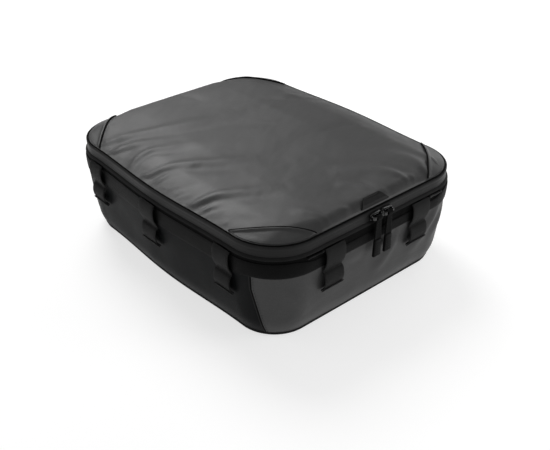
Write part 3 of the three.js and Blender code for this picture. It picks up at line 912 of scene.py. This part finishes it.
def add_hinge_strip():
    """The strip of tape that joins the lid to the case along the rear."""
    low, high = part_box("hinge_strip")
    levels = np.linspace(low.z, high.z, 13)
    outer, inner = [np.stack([np.full(13, y - SEAM_Y), levels], axis=1) for y in (high.y, low.y)]
    half = high.x / STRAIGHT_X
    left = columns(0, half, 4 * MM)
    stations = np.concatenate([LAST_STATION - left[:0:-1], LAST_STATION + left])
    shape = sweep(stations, np.concatenate([outer, inner[::-1]]))
    piece = add_piece("hinge_tape", shape, TAPE, "case", "hinge_strip", rides=False)
    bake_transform(piece)


def add_zip_stops():
    for side in ("left", "right"):
        low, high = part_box(f"zip_stop_{side}")
        size = (high - low) / 2
        body = softened(prism(rounded_box(size.x, size.y, 0.4 * MM, 2), -size.z, size.z), 0.2 * MM)
        shape = body.placed(Matrix.Translation((low + high) / 2))
        add_piece(f"zip_end_stop_{side}", shape, PLASTIC, "case", f"zip_stop_{side}")


# ---- Case ----

# Where the end panels meet the side panels: a little further round the corner at the base.
PANEL_SEAM_TOP = 139 * MM
PANEL_SEAM_FOOT = 150 * MM


def corner_station(y):
    """Station on the front left corner at a distance y ahead of the middle."""
    return 3 + math.asin(min((y - STRAIGHT_Y) / RADIUS, 1)) / (math.pi / 2)


def wall_levels(foot, top, steps):
    """Levels up a wall, closer together near its foot."""
    share = np.linspace(0, 1, steps) ** 1.25
    return foot + (top - foot) * share


# Soft creases on the front wall, in millimetres: a path of distances to the right of the middle and
# heights, a width and a height above the wall.
FRONT_FOLDS = [
    ([(14, 74), (8, 60), (6, 44)], 5, 1.3),
    ([(34, 76), (28, 58), (14, 40), (2, 30)], 7, 1.8),
    ([(96, 74), (84, 58), (66, 40), (50, 30)], 8, 1.9),
    ([(112, 66), (100, 48), (86, 34)], 6, 1.3),
    ([(-46, 72), (-30, 66), (-12, 68)], 6, 0.9),
    ([(-110, 60), (-96, 40), (-90, 22)], 9, 1.1),
]
FRONT_FOLD_STRENGTH = 1.4


def wall_points(side, spacing, levels):
    """A wall panel's outer surface as a grid of points, stations along it and levels up it."""
    seam = seam_stations(levels)
    rear_seam = 5 - seam
    start, end = {
        "front": (seam, LAST_STATION - seam),
        "rear": (LAST_STATION - rear_seam, LAST_STATION + rear_seam),
        "left": (rear_seam, seam),
        "right": (LAST_STATION - seam, LAST_STATION - rear_seam),
    }[side]
    count = len(columns(start[0], end[0], spacing))
    share_along = np.linspace(0, 1, count)[:, None]
    stations = start[None] + (end - start)[None] * share_along
    plan = outline(stations, np.broadcast_to(wall_grow(levels), stations.shape))
    return at_height(plan, levels)


def add_wall(side, finish, folds=()):
    foot = lowest(f"{side}_wall_panel").z
    points = wall_points(side, 3 * MM, wall_levels(foot, WALL_TOP, 34))
    swollen = points + settling(points, slack=0.006, pressure=0.6, reach=0.35 * MM)
    normals = grid_normals(points)
    centre = np.array([0, 0, points[..., 2].mean()])
    normals *= np.sign(((points - centre) * normals).sum(axis=-1).mean())
    height = points[..., 2]
    edge = ramp(height, foot, foot + 12 * MM) * ramp(-height, -WALL_TOP, 12 * MM - WALL_TOP)
    lift = 0.45 * MM * wobble(points, 34 * MM, len(side))
    lift += FRONT_FOLD_STRENGTH * folded(points[..., [0, 2]], folds)
    outer = swollen + normals * (lift * edge)[..., None]
    shape = thickened(outer, -normals * 0.8 * MM)
    panel = add_piece(f"{side}_wall_fabric", shape, finish, "case", f"{side}_wall_panel")


def add_walls():
    add_wall("front", END_WALL, FRONT_FOLDS)
    add_wall("rear", END_WALL)
    add_wall("left", SIDE)
    add_wall("right", SIDE)


def seam_stations(levels):
    """Stations of the front left panel seam at levels up the wall."""
    foot = lowest("front_wall_panel").z
    share = (levels - foot) / (WALL_TOP - foot)
    meet = PANEL_SEAM_FOOT + (PANEL_SEAM_TOP - PANEL_SEAM_FOOT) * np.clip(share * 1.6, 0, 1)
    return np.array([corner_station(y) for y in meet])


def seam_cord(stations, levels, across, proud):
    """A cord up the wall. Across is half its width, in stations, and proud half its depth."""
    around = circle(1, 8)
    grow = wall_grow(levels)[:, None] + 0.1 * MM + proud * around[:, 1]
    plan = outline(stations[:, None] + across * around[:, 0], grow)
    return tube(at_height(plan, levels[:, None]))


# Along the wall, in stations: half the width of a seam's welt and of the black strip beside it, painted
# as
# # the welt's shadow, and how far that strip and the stitches are from the welt's middle.
WELT_HALF = 0.008
SHADOW_STRIP_HALF = 0.009
SHADOW_STRIP_AWAY = 0.016
STITCHES_AWAY = 0.045


def add_panel_seams():
    """A welt of folded fabric down each seam between wall panels, with a black strip on its end side
    painted as the welt's shadow, and a row of stitches beyond."""
    levels = np.linspace(lowest("front_wall_panel").z + 3 * MM, lowest("webbing_band").z + 5 * MM, 34)
    first = seam_stations(levels)
    corners = ((first, 1), (5 - first, -1), (LAST_STATION - first, -1), (LAST_STATION - 5 + first, 1))
    welts, gaps, threads = [], [], []
    for stations, toward_end in corners:
        welts.append(seam_cord(stations, levels, WELT_HALF, 0.5 * MM))
        # A black cord beside the welt: painted shadow of the welt.
        gaps.append(seam_cord(stations + SHADOW_STRIP_AWAY * toward_end, levels, SHADOW_STRIP_HALF, 0.2 * MM))
        beside = stations + STITCHES_AWAY * toward_end
        plan = outline(beside, wall_grow(levels) + 0.35 * MM)
        out = outline(beside, wall_grow(levels) + 5 * MM) - plan
        threads.append(stitches(at_height(plan, levels), at_height(out)))
    add_piece("panel_seam_welts", joined(welts), BINDING, "case")
    # The black cords beside the welts are painted shadow.
    add_piece("panel_seam_painted_shadows", joined(gaps), PIPING_AND_SHADE, "case")
    add_piece("panel_seam_stitches", joined(threads), END_THREAD, "case")


def add_wall_foam():
    foot = lowest("front_wall_foam").z
    top = highest("front_wall_foam").z
    depth = 5 * MM
    levels = np.linspace(foot, top - 1 * MM, 8)
    outer = np.stack([wall_grow(levels) - 1.4 * MM, levels], axis=1)
    tip = [[wall_grow(top) - 1.4 * MM - 1.2 * MM, top], [wall_grow(top) - depth, top]]
    inner = np.stack([wall_grow(levels) - 1 * MM - depth, levels], axis=1)[::-1]
    profile = np.concatenate([outer, tip, inner])
    corner = corner_station(STRAIGHT_Y)
    reaches = {"front": (corner, LAST_STATION - corner), "rear": (LAST_STATION - 2, LAST_STATION + 2),
               "left": (2, 3), "right": (6, 7)}
    for side, (start, end) in reaches.items():
        shape = sweep(columns(start, end, 8 * MM), profile)
        pad = add_piece(f"{side}_wall_pad", shape, FOAM, "case", f"{side}_wall_foam")


def add_base():
    low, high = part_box("base_panel")
    rings = [(BASE_GROW - 2.4 * MM, low.z), (BASE_GROW - 0.8 * MM, low.z + 0.2 * MM),
             (BASE_GROW, low.z + 0.7 * MM), (BASE_GROW - 0.3 * MM, high.z)]
    add_piece("base_sheet", stack(rings, 5 * MM), SIDE, "case", "base_panel")
    low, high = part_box("base_foam")
    grow = high.y - SEAM_Y
    soft = 1 * MM
    rings = [(grow - soft, low.z), (grow, low.z + soft), (grow, high.z - soft), (grow - soft, high.z)]
    pad = add_piece("base_pad", stack(rings, 8 * MM), FOAM, "case", "base_foam")


def add_base_piping():
    """Two cords covered in fabric run round the foot, one above the other."""
    low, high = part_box("base_piping")
    cords = []
    for radius, z in ((0.75 * MM, low.z + 0.75 * MM), (0.5 * MM, high.z + 1.2 * MM)):
        cords.append(swept_round(3 * MM, circle(radius, middle=(wall_grow(z) + 0.3 * radius, z))))
    add_piece("base_cords", joined(cords), BINDING, "case", "base_piping")


# How far the tray's outer face stands inside the wall's outer surface, and its fabric's thickness.
TRAY_DEPTH = 6.6 * MM
TRAY_SHEET = 0.6 * MM


def add_tray_trim():
    """A strip of binding sewn round the tray's rim, and a cord in the seam round its floor."""
    low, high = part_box("case_lining")
    foot = high.z - 10 * MM
    face = wall_grow(foot) - TRAY_DEPTH - TRAY_SHEET
    strip = band_profile(foot, high.z - 0.5 * MM, face - 0.5 * MM, face + 0.3 * MM, 0.3 * MM)
    radius = 1.1 * MM
    middle = wall_grow(low.z) - TRAY_DEPTH - TRAY_SHEET - 0.5 * MM
    seam = circle(radius, middle=(middle, low.z + 1.2 * radius))
    trim = swept_round(4 * MM, strip) + swept_round(4 * MM, seam)
    add_piece("tray_trim", trim, BINDING, "case")
    line = outline(whole_round(4 * MM), face - 0.55 * MM)
    threads = stitches(at_height(line, foot + 1.5 * MM), at_height(-unit(line)))
    add_piece("tray_stitches", threads, THREAD, "case")


def add_lining():
    """The inner tray. Its walls billow a little between the rim and the floor."""
    low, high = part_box("case_lining")
    levels = np.linspace(low.z, high.z, 20)
    stations = whole_round(6 * MM)
    billow = wobble(at_height(outline(stations)), 40 * MM, 8)
    bulge = np.sin(np.linspace(0, math.pi, 20))
    inner = wall_grow(levels) - TRAY_DEPTH - TRAY_SHEET
    inner = inner[None] - (0.5 * MM * (1 + billow))[:, None] * bulge[None]
    outer = np.broadcast_to(wall_grow(levels) - TRAY_DEPTH, inner.shape)
    add_piece("tray_wall", swept_sheet(stations, outer, inner, levels), LINING, "case", "case_lining")
    plan = lid_plan(60, 72, wall_grow(low.z) - TRAY_DEPTH - TRAY_SHEET)
    level = low.z + TRAY_SHEET + 0.3 * MM * (1 + wobble(at_height(plan), 30 * MM, 9))
    floor = thickened(at_height(plan, level), np.array([0, 0, -0.5 * MM]))
    add_piece("tray_floor", floor, LINING, "case", "case_lining")


def swept_sheet(stations, outer, inner, levels):
    """A sheet right round the case between two surfaces of grows, at levels up its height."""
    faces = [np.stack([grow, np.broadcast_to(levels, grow.shape)], axis=-1) for grow in (outer, inner)]
    return sweep(stations, np.concatenate([faces[0], faces[1][:, ::-1]], axis=1), closed=True)


# How far the webbing's top edge sags along the two ends, and how far its foot rises there.
END_DIP = 5 * MM
END_RISE = 3 * MM


def add_lower_binding():
    """The lip below the zip, and a black strip round the wall behind the webbing's top edge, painted as
    the shade under the lip.
    """
    low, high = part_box("lower_binding")
    lip = high.y - SEAM_Y
    rise = np.array([0, 0.5, 1.2, 2, 2.7, 3.2]) * MM
    out = np.array([lip - 0.5 * MM, lip, lip - 0.2 * MM, 3.6 * MM, 2.8 * MM, 2.3 * MM])
    curve = np.stack([out, low.z + rise], axis=1)
    back = np.stack([np.full(len(curve), ZIP_GROW - TAPE_THICKNESS), curve[:, 1]], axis=1)[::-1]
    lip_shape = swept_round(3 * MM, np.concatenate([curve, back]))
    add_piece("case_edge_binding", lip_shape, BINDING, "case", "lower_binding")
    # A black strip on the wall above the webbing: painted shade under the zip's lip.
    levels = np.linspace(highest("webbing_band").z - END_DIP - 4 * MM, low.z, 5)
    outer = np.stack([wall_grow(levels) + 0.3 * MM, levels], axis=1)
    shade_strip = np.concatenate([outer, (outer - (0.5 * MM, 0))[::-1]])
    add_piece("case_edge_painted_shade", swept_round(4 * MM, shade_strip), PIPING_AND_SHADE, "case")


def end_share(stations, reach=0.0):
    """1 along the case's two ends, 0 along its sides, and between round the corners. A longer reach, in
    stations, carries it further round."""
    u = np.minimum(stations % LAST_STATION, LAST_STATION - stations % LAST_STATION)
    share = np.maximum(ramp(u + reach, 3.75, 4.05), ramp(reach - u, -1.25, -0.95))
    return share * share * (3 - 2 * share)


def add_webbing_band():
    low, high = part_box("webbing_band")
    stations = whole_round(3 * MM)
    top = high.z - END_DIP * end_share(stations)
    foot = low.z + END_RISE * end_share(stations, reach=0.75)
    share = np.linspace(0, 1, 11)
    levels = foot[:, None] + (top - foot)[:, None] * share
    belly = 0.3 * MM * np.sin(math.pi * share)
    belly[[0, -1]] -= 0.35 * MM
    ripple = 0.25 * MM * wobble(at_height(outline(stations)), 34 * MM, 12)[:, None]
    outer = wall_grow(levels) + 1.3 * MM + belly + ripple
    shape = swept_sheet(stations, outer, wall_grow(levels) + 0.45 * MM, levels)
    add_piece("lash_band", shape, WEBBING, "case", "webbing_band")


# ---- Lash straps ----

# The straps' backs hang in two loops: heights, and how far each stands off the wall, in millimetres.
STRAP_RUN = [(94.7, 1.2), (91, 3.4), (84.5, 4.4), (77, 3.8), (68.8, 0.8),
             (65, 3.6), (58, 5.4), (51, 4.4), (46, 0.8)]
STRAP_TACK = 68.8 * MM
STRAP_THICKNESS = 1.6 * MM
STRAP_WIDTH = 25 * MM
HEM = 6 * MM
# Places across a strap, and its share of the full thickness there: it thins at its two edges.
ACROSS_STRAP = np.array([0, 0.02, 0.06, 0.2, 0.35, 0.5, 0.65, 0.8, 0.94, 0.98, 1])
STRAP_EDGES = np.array([0.35, 0.8, 1, 1, 1, 1, 1, 1, 1, 0.8, 0.35])


def strap_line():
    """The middle of the strap's thickness, as (grow, z) from its top end to its foot."""
    back = spline([(wall_grow(z * MM) + clear * MM, z * MM) for z, clear in STRAP_RUN], 5)
    return back + (STRAP_THICKNESS / 2, 0)


def add_strap(node, name):
    low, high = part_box(node)
    middle = (low + high) / 2
    start, end = span(middle.x, middle.y, STRAP_WIDTH)
    stations = start + (end - start) * ACROSS_STRAP
    line = strap_line()
    strap = np.stack([ribbon_profile(line, STRAP_THICKNESS * thin) for thin in STRAP_EDGES])
    foot = line[line[:, 1] < line[-1, 1] + HEM]
    raised = foot - side_normals(foot) * STRAP_THICKNESS
    hem = np.stack([ribbon_profile(raised, 0.8 * STRAP_THICKNESS * thin) for thin in STRAP_EDGES])
    add_piece(name, sweep(stations, strap) + sweep(stations, hem), STRAP, "case", node)
    outward = outline(stations[5], 10 * MM) - outline(stations[5])
    return strap_stitches(start, end, line, np.array([*unit(outward), 0]))


def strap_stitches(start, end, line, out):
    """Two rows where the strap is sewn through the band, and two along its hem."""
    rows = []
    edge = (end - start) * 0.1
    tack = line[np.argmin(np.abs(line[:, 1] - STRAP_TACK)), 1]
    tip = line[-1, 1]
    hem_rows = [(tip + 1.4 * MM, 0.9), (tip + HEM - 1.4 * MM, 0.9)]
    for level, lift in [(tack + 1 * MM, 0), (tack - 1 * MM, 0)] + hem_rows:
        face = STRAP_THICKNESS * (0.5 + lift) + 0.1 * MM
        grow = np.interp(level, line[::-1, 1], line[::-1, 0]) + face
        plan = outline(np.linspace(start + edge, end - edge, 6), grow)
        rows.append(stitches(at_height(plan, level), out, 1.8 * MM, 0.7 * MM))
    return joined(rows)


def add_straps():
    rows = []
    for side in ("left", "right"):
        for place in ("front", "middle", "rear"):
            rows.append(add_strap(f"strap_{side}_{place}", f"lash_strap_{side}_{place}"))
        rows.append(add_strap(f"strap_front_{side}", f"lash_strap_front_{side}"))
        rows.append(add_strap(f"strap_rear_{side}", f"lash_strap_rear_{side}"))
    add_piece("lash_strap_stitches", joined(rows), THREAD, "case")


# Half of a bar, as shares of its length and of its radius: a rounded end, a collar, then a thinner rod.
BAR_END = [(0, 0.1), (0.01, 0.6), (0.03, 0.9), (0.06, 1), (0.065, 1), (0.14, 1), (0.15, 0.82)]


def add_strap_bars():
    """Small rounded bars with a moulded collar at each end, tucked above the webbing."""
    far_end = [(1 - share, size) for share, size in BAR_END[::-1]]
    share, size = np.array(BAR_END + [(0.5, 0.82)] + far_end).T
    for side in ("left", "right"):
        low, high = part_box(f"strap_bar_{side}")
        first, last = station_at(low.x, -SEAM_Y), station_at(high.x, -SEAM_Y)
        stations = first + (last - first) * share
        radius = (high.z - low.z) / 2 * size[:, None, None]
        middle = (-(low.y + high.y) / 2 - SEAM_Y, (low.z + high.z) / 2)
        rod = sweep(stations, middle + radius * circle(1, 16))
        add_piece(f"strap_rod_{side}", rod, PLASTIC, "case", f"strap_bar_{side}")


# ---- Patches ----

CORNER_CHORD = 248 * MM
PATCH_LIFT = 0.5 * MM


def corner_patch_points(sign_x, sign_y, lid_grid, swelling):
    """A grid over a lid corner, from its free edge out to the seam."""
    x_on_side = SEAM_X + 0.3 * MM
    first = station_at(-x_on_side, x_on_side - CORNER_CHORD)
    last = station_at(SEAM_Y - CORNER_CHORD, -SEAM_Y)
    outer = outline(np.linspace(first, last, 40), -1.2 * MM)
    share = np.linspace(0, 1, 40)[:, None]
    bow = 2 * MM * np.sin(math.pi * share)
    chord = outer[0] + (outer[-1] - outer[0]) * share - bow / math.sqrt(2)
    across = np.concatenate([[0, 0.015, 0.04, 0.08, 0.11], np.linspace(0.16, 1, 16)])[None, :, None]
    plan = (chord[:, None] + (outer - chord)[:, None] * across) * (-sign_x, -sign_y)
    distance = np.linalg.norm((outer - chord), axis=1)[:, None] * across[..., 0]
    hem = 1.3 * MM * np.exp(-((distance - 1.6 * MM) / (1.6 * MM)) ** 2)
    points = at_height(plan, lid_rise(plan, inset_of(plan)) + nearby(plan, lid_grid, swelling))
    rumple = 0.25 * MM * wobble(points, 14 * MM, 20) * ramp(distance, 0, 5 * MM)
    points[..., 2] += PATCH_LIFT + hem + rumple
    return points


def add_corner_patches(lid_grid, swelling):
    """A patch on each corner of the lid, with a black cord along its free edge painted as the shade under
    its rolled hem.
    """
    corners = {"front_left": (-1, -1), "front_right": (1, -1), "rear_left": (-1, 1), "rear_right": (1, 1)}
    edges = []
    for name, (sign_x, sign_y) in corners.items():
        points = corner_patch_points(sign_x, sign_y, lid_grid, swelling)
        shape = thickened(points, np.array([0, 0, -0.7 * MM]))
        add_piece(f"corner_guard_{name}", shape, COATED, "lid", f"corner_patch_{name}")
        # Black cord along the free edge: painted shade under the rolled hem.
        edges.append(cord(points[:, 0], 0.8 * MM))
    add_piece("corner_guard_painted_edge_shade", joined(edges), PIPING_AND_SHADE, "lid")


def add_front_patch(lid_grid, swelling):
    """A moulded trapezoid with rounded top corners, a raised rim and a stitched slot, outlined by a black
    cord painted as shade where it stands proud of the lid.
    """
    low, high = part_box("front_patch")
    base_half = high.x
    tip_half = 0.6 * base_half
    depth = high.y - low.y
    corner = 1.8 * MM
    tuck = 1 * MM
    across = np.linspace(-1, 1, 61)[:, None]
    up = np.linspace(0, 1, 25)[None]
    half = base_half + (tip_half - base_half) * up
    beyond = np.clip(np.abs(across) * tip_half - (tip_half - corner), 0, corner)
    top = depth - corner + np.sqrt(corner ** 2 - beyond ** 2)
    plan = np.stack([across * half, tuck - SEAM_Y + (top - tuck) * up], axis=-1)
    edge = np.minimum((1 - np.abs(across)) * half, np.minimum(up, 1 - up) * depth)
    rim = 0.25 * MM * np.exp(-((edge - 1.2 * MM) / (0.7 * MM)) ** 2)
    slot = 0.9 * MM * np.exp(-((up - 0.74) * depth / (0.5 * MM)) ** 2)
    slot = slot * (np.abs(across * half) < tip_half * 0.8)
    dome = 1.1 * MM * ramp(edge, 0, 0.8 * MM) ** 0.5
    level = lid_rise(plan, inset_of(plan)) + nearby(plan, lid_grid, swelling)
    points = at_height(plan, level + 1.2 * MM + dome + rim - slot)
    shape = thickened(points, np.array([0, 0, -0.9 * MM]))
    add_piece("front_tab", shape, RUBBER, "lid", "front_patch")
    # Black cord round the tab's border: painted shade where the tab stands proud.
    border = np.concatenate([points[0], points[1:-1, -1], points[-1, ::-1]])
    add_piece("front_tab_painted_edge_shade", cord(border, 0.35 * MM), PIPING_AND_SHADE, "lid")


# ---- Sliders and pulls ----


def block(half_a, half_b, corner, low, high, bevel, steps=3):
    """A softened box between two levels, with round corners in plan."""
    return softened(prism(rounded_box(half_a, half_b, corner, steps), low, high), bevel)


def slider_plate(half, wide, sign):
    """The shield-shaped outer plate, wide at the head and narrower at the tail."""
    narrow = wide - 1.4 * MM
    shoulder = half - 3 * MM
    upper = [(half, wide - 1.8 * MM), (shoulder, wide), (-half, narrow)]
    plan = [(x, -z) for x, z in upper[::-1]] + upper
    return softened(prism([(sign * x, z) for x, z in plan], 0.4 * MM, 2.6 * MM), 0.9 * MM)


def slider_bridge(half):
    """The arched bar that the pull hangs on."""
    leg = [(half - 1 * MM, -2.0 * MM), (half - 0.9 * MM, -4.6 * MM), (half - 2.4 * MM, -6.3 * MM)]
    path = spline([(-x, y) for x, y in leg] + [(0, -6.5 * MM)] + leg[::-1], 5)
    box = rounded_box(0.9 * MM, 1.9 * MM, 0.6 * MM, 2)
    across = path[:, None] + box[:, :1] * side_normals(path)[:, None]
    return tube(at_height(across, box[:, 1]))


def add_slider(side, sign):
    """A slider on the coil: an outer plate with a boss, an inner plate, a post and a bridge."""
    low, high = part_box(f"slider_{side}")
    centre = Vector(((low.x + high.x) / 2, -(SEAM_Y + ZIP_GROW), (low.z + high.z) / 2))
    half = (high.x - low.x) / 2
    wide = (high.z - low.z) / 2
    plate = slider_plate(half, wide, -sign)
    boss = block(half * 0.55, wide * 0.5, 1.2 * MM, 2.2 * MM, 3.0 * MM, 0.35 * MM)
    inner = block(half - 1 * MM, 4 * MM, 1.5 * MM, -4.3 * MM, -3.1 * MM, 0.3 * MM)
    post_plan = np.array([(-2, -0.35), (2, -0.35), (2, 0.35), (-2, 0.35)]) * MM
    post = softened(prism(post_plan, -3.2 * MM, 0.6 * MM), 0.1 * MM)
    body = joined([plate, boss, inner, post]).placed(Matrix.Rotation(math.pi / 2, 4, "X"))
    shape = joined([body, slider_bridge(half)]).placed(Matrix.Translation(centre))
    add_piece(f"zip_slider_{side}", shape, METAL, f"slider_{side}", f"slider_{side}")


def cross_strip(line, thickness, widths, edges=0.4):
    """A ribbon across X whose path is a line in Y and Z, with a width at each point of the line."""
    share = np.array([-1, -0.94, -0.8, -0.4, 0, 0.4, 0.8, 0.94, 1])
    thin = np.where(np.abs(share) == 1, edges, np.where(np.abs(share) > 0.9, 0.85, 1.0))
    both_ways = np.concatenate([widths, widths[::-1]])
    rings = []
    for place, factor in zip(share, thin):
        profile = ribbon_profile(line, thickness * factor)
        rings.append(np.column_stack([place / 2 * both_ways, profile]))
    return tube(np.stack(rings))


PULL_LAYER = 0.75 * MM
PULL_NECK = 0.7


def add_pull(side):
    """A strip of webbing doubled round the slider's bridge, narrower there, with its grip."""
    low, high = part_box(f"pull_webbing_{side}")
    eye = 2.6 * MM
    pivot = Vector(((low.x + high.x) / 2, low.y + eye, high.z - eye))
    drop = pivot.z - low.z
    width = high.x - low.x
    turn = np.linspace(-math.pi / 2 + 0.35, 1.5 * math.pi - 0.35, 26)
    arc = (eye - PULL_LAYER / 2) * np.stack([np.cos(turn), np.sin(turn)], axis=1)
    back = [(0.4 * MM, -drop), (0.42 * MM, -8 * MM), (0.45 * MM, -4.4 * MM)]
    front = [(-y, z) for y, z in back[::-1]]
    loop = spline(np.concatenate([back, arc, front]), 2)
    widths = width * (PULL_NECK + (1 - PULL_NECK) * ramp(-loop[:, 1], 0, drop))
    webbing = cross_strip(loop, PULL_LAYER, widths).placed(Matrix.Translation(pivot))
    add_piece(f"pull_loop_{side}", webbing, PULL, f"pull_{side}", f"pull_webbing_{side}")
    thread = pull_stitches(width, drop).placed(Matrix.Translation(pivot))
    add_piece(f"pull_stitches_{side}", thread, THREAD, f"pull_{side}")
    add_pull_end(side)


def pull_stitches(width, drop):
    """A row down each side of the doubled webbing and one across its neck, on the front."""
    face = -0.85 * MM
    rows = []
    for edge in (-width * 0.36, width * 0.36):
        line = [(edge * 0.8, face, -6.4 * MM), (edge, face, -drop + 1 * MM)]
        rows.append(stitches(line, (0, -1, 0), 1.6 * MM, 0.7 * MM, 0.2 * MM))
    tack = [(-width * 0.28, face, -6 * MM), (width * 0.28, face, -6 * MM)]
    rows.append(stitches(tack, (0, -1, 0), 1.6 * MM, 0.4 * MM, 0.2 * MM))
    return joined(rows)


RIB_COUNT = 5
FIRST_RIB = 0.2
LAST_RIB = 0.82


def add_pull_end(side):
    """The moulded grip: it flares towards its end and carries five raised ribs."""
    low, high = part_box(f"pull_end_{side}")
    centre = (low + high) / 2
    half_width = (high.x - low.x) / 2
    half_depth = (high.y - low.y) / 2
    share = np.concatenate([[0, 0.01, 0.03], np.linspace(0.06, 0.94, 60), [0.97, 0.99, 1]])
    ends = ramp(np.minimum(share, 1 - share), 0, 0.05) ** 0.5
    flare = 0.86 + 0.14 * share
    along_ribs = (share - FIRST_RIB) / (LAST_RIB - FIRST_RIB)
    waves = np.maximum(np.sin(along_ribs * RIB_COUNT * 2 * math.pi), 0)
    ribs = waves * (share > FIRST_RIB) * (share < LAST_RIB)
    half_widths = half_width * flare * (0.8 + 0.2 * ends)
    half_depths = half_depth * (0.72 + 0.12 * ends) * ends + 0.22 * MM * ribs * ends + 0.15 * MM
    rings = []
    for z, a, b in zip(high.z - share * (high.z - low.z), half_widths, half_depths):
        box = rounded_box(a, b, min(a, b) * 0.7, 3)
        rings.append(at_height(box + (centre.x, centre.y), z))
    add_piece(f"pull_grip_{side}", tube(np.stack(rings)), GRIP, f"pull_{side}", f"pull_end_{side}")


# ---- Stage ----


FLOOR_GLOW = 0.66


def add_floor():
    """A pale floor that glows a little, so that only the contact shadows show on it."""
    size = 6.0
    corners = [(-size, -size, 0), (size, -size, 0), (size, size, 0), (-size, size, 0)]
    mesh = to_mesh("floor", corners, [(0, 1, 2, 3)])
    surface = Surface("floor", **{"Specular IOR Level": 0.1, "Emission Strength": FLOOR_GLOW})
    surface.shader.inputs["Emission Color"].default_value = (1, 1, 1, 1)
    cloudy = surface.noise(0.8, 2)
    tone = surface.blend(cloudy, grey(0.52), grey(0.54))
    roughness = surface.spread(cloudy, 0, 1, 0.8, 0.9)
    mesh.materials.append(surface.finish(tone, roughness, [(cloudy, 0.1 * MM)]))
    linked("floor", mesh)


# Name, place, the point it faces, size and power.
LIGHTS = [
    ("key", (2.3, 0.6, 0.75), (0, 0, 0.1), 1.4, 6.5),
    ("back", (0.5, 1.5, 1.65), (-0.05, 0, 0.1), 1.3, 28),
    ("left", (-0.9, 0.9, 0.35), (0, 0, 0.05), 0.5, 1),
    ("front", (0.6, -0.75, 0.3), (0, 0, 0.05), 0.5, 2),
]


def add_area_light(name, place, aim, size, power):
    data = bpy.data.lights.new(name, "AREA")
    data.shape = "DISK"
    data.size = size
    data.energy = power
    lamp = linked(name, data)
    lamp.location = place
    lamp.rotation_euler = (Vector(place) - Vector(aim)).to_track_quat("Z", "Y").to_euler()


def add_lights():
    world = bpy.data.worlds.new("studio")
    world.use_nodes = True
    background = world.node_tree.nodes["Background"]
    background.inputs["Color"].default_value = (1, 1, 1, 1)
    background.inputs["Strength"].default_value = 0.3
    bpy.context.scene.world = world
    bpy.context.scene.view_settings.view_transform = "Standard"
    for light in LIGHTS:
        add_area_light(*light)


add_camera()
add_lights()
add_floor()
lid_grid, swelling = add_lid_panel()
add_lid_piping()
add_lid_binding()
add_lid_foam()
add_lid_lining()
add_corner_patches(lid_grid, swelling)
add_front_patch(lid_grid, swelling)
add_tape("upper_zip_tape", "zip_tape_lid", "lid", upper=True)
add_tape("lower_zip_tape", "zip_tape_case", "case", upper=False)
add_coil("upper_zip_coil", "zip_teeth_lid", "lid")
add_coil("lower_zip_coil", "zip_teeth_case", "case")
add_hinge_strip()
add_zip_stops()
add_walls()
add_panel_seams()
add_wall_foam()
add_base()
add_base_piping()
add_lining()
add_tray_trim()
add_lower_binding()
add_webbing_band()
add_straps()
add_strap_bars()
for side, sign in (("left", -1), ("right", 1)):
    add_slider(side, sign)
    add_pull(side)
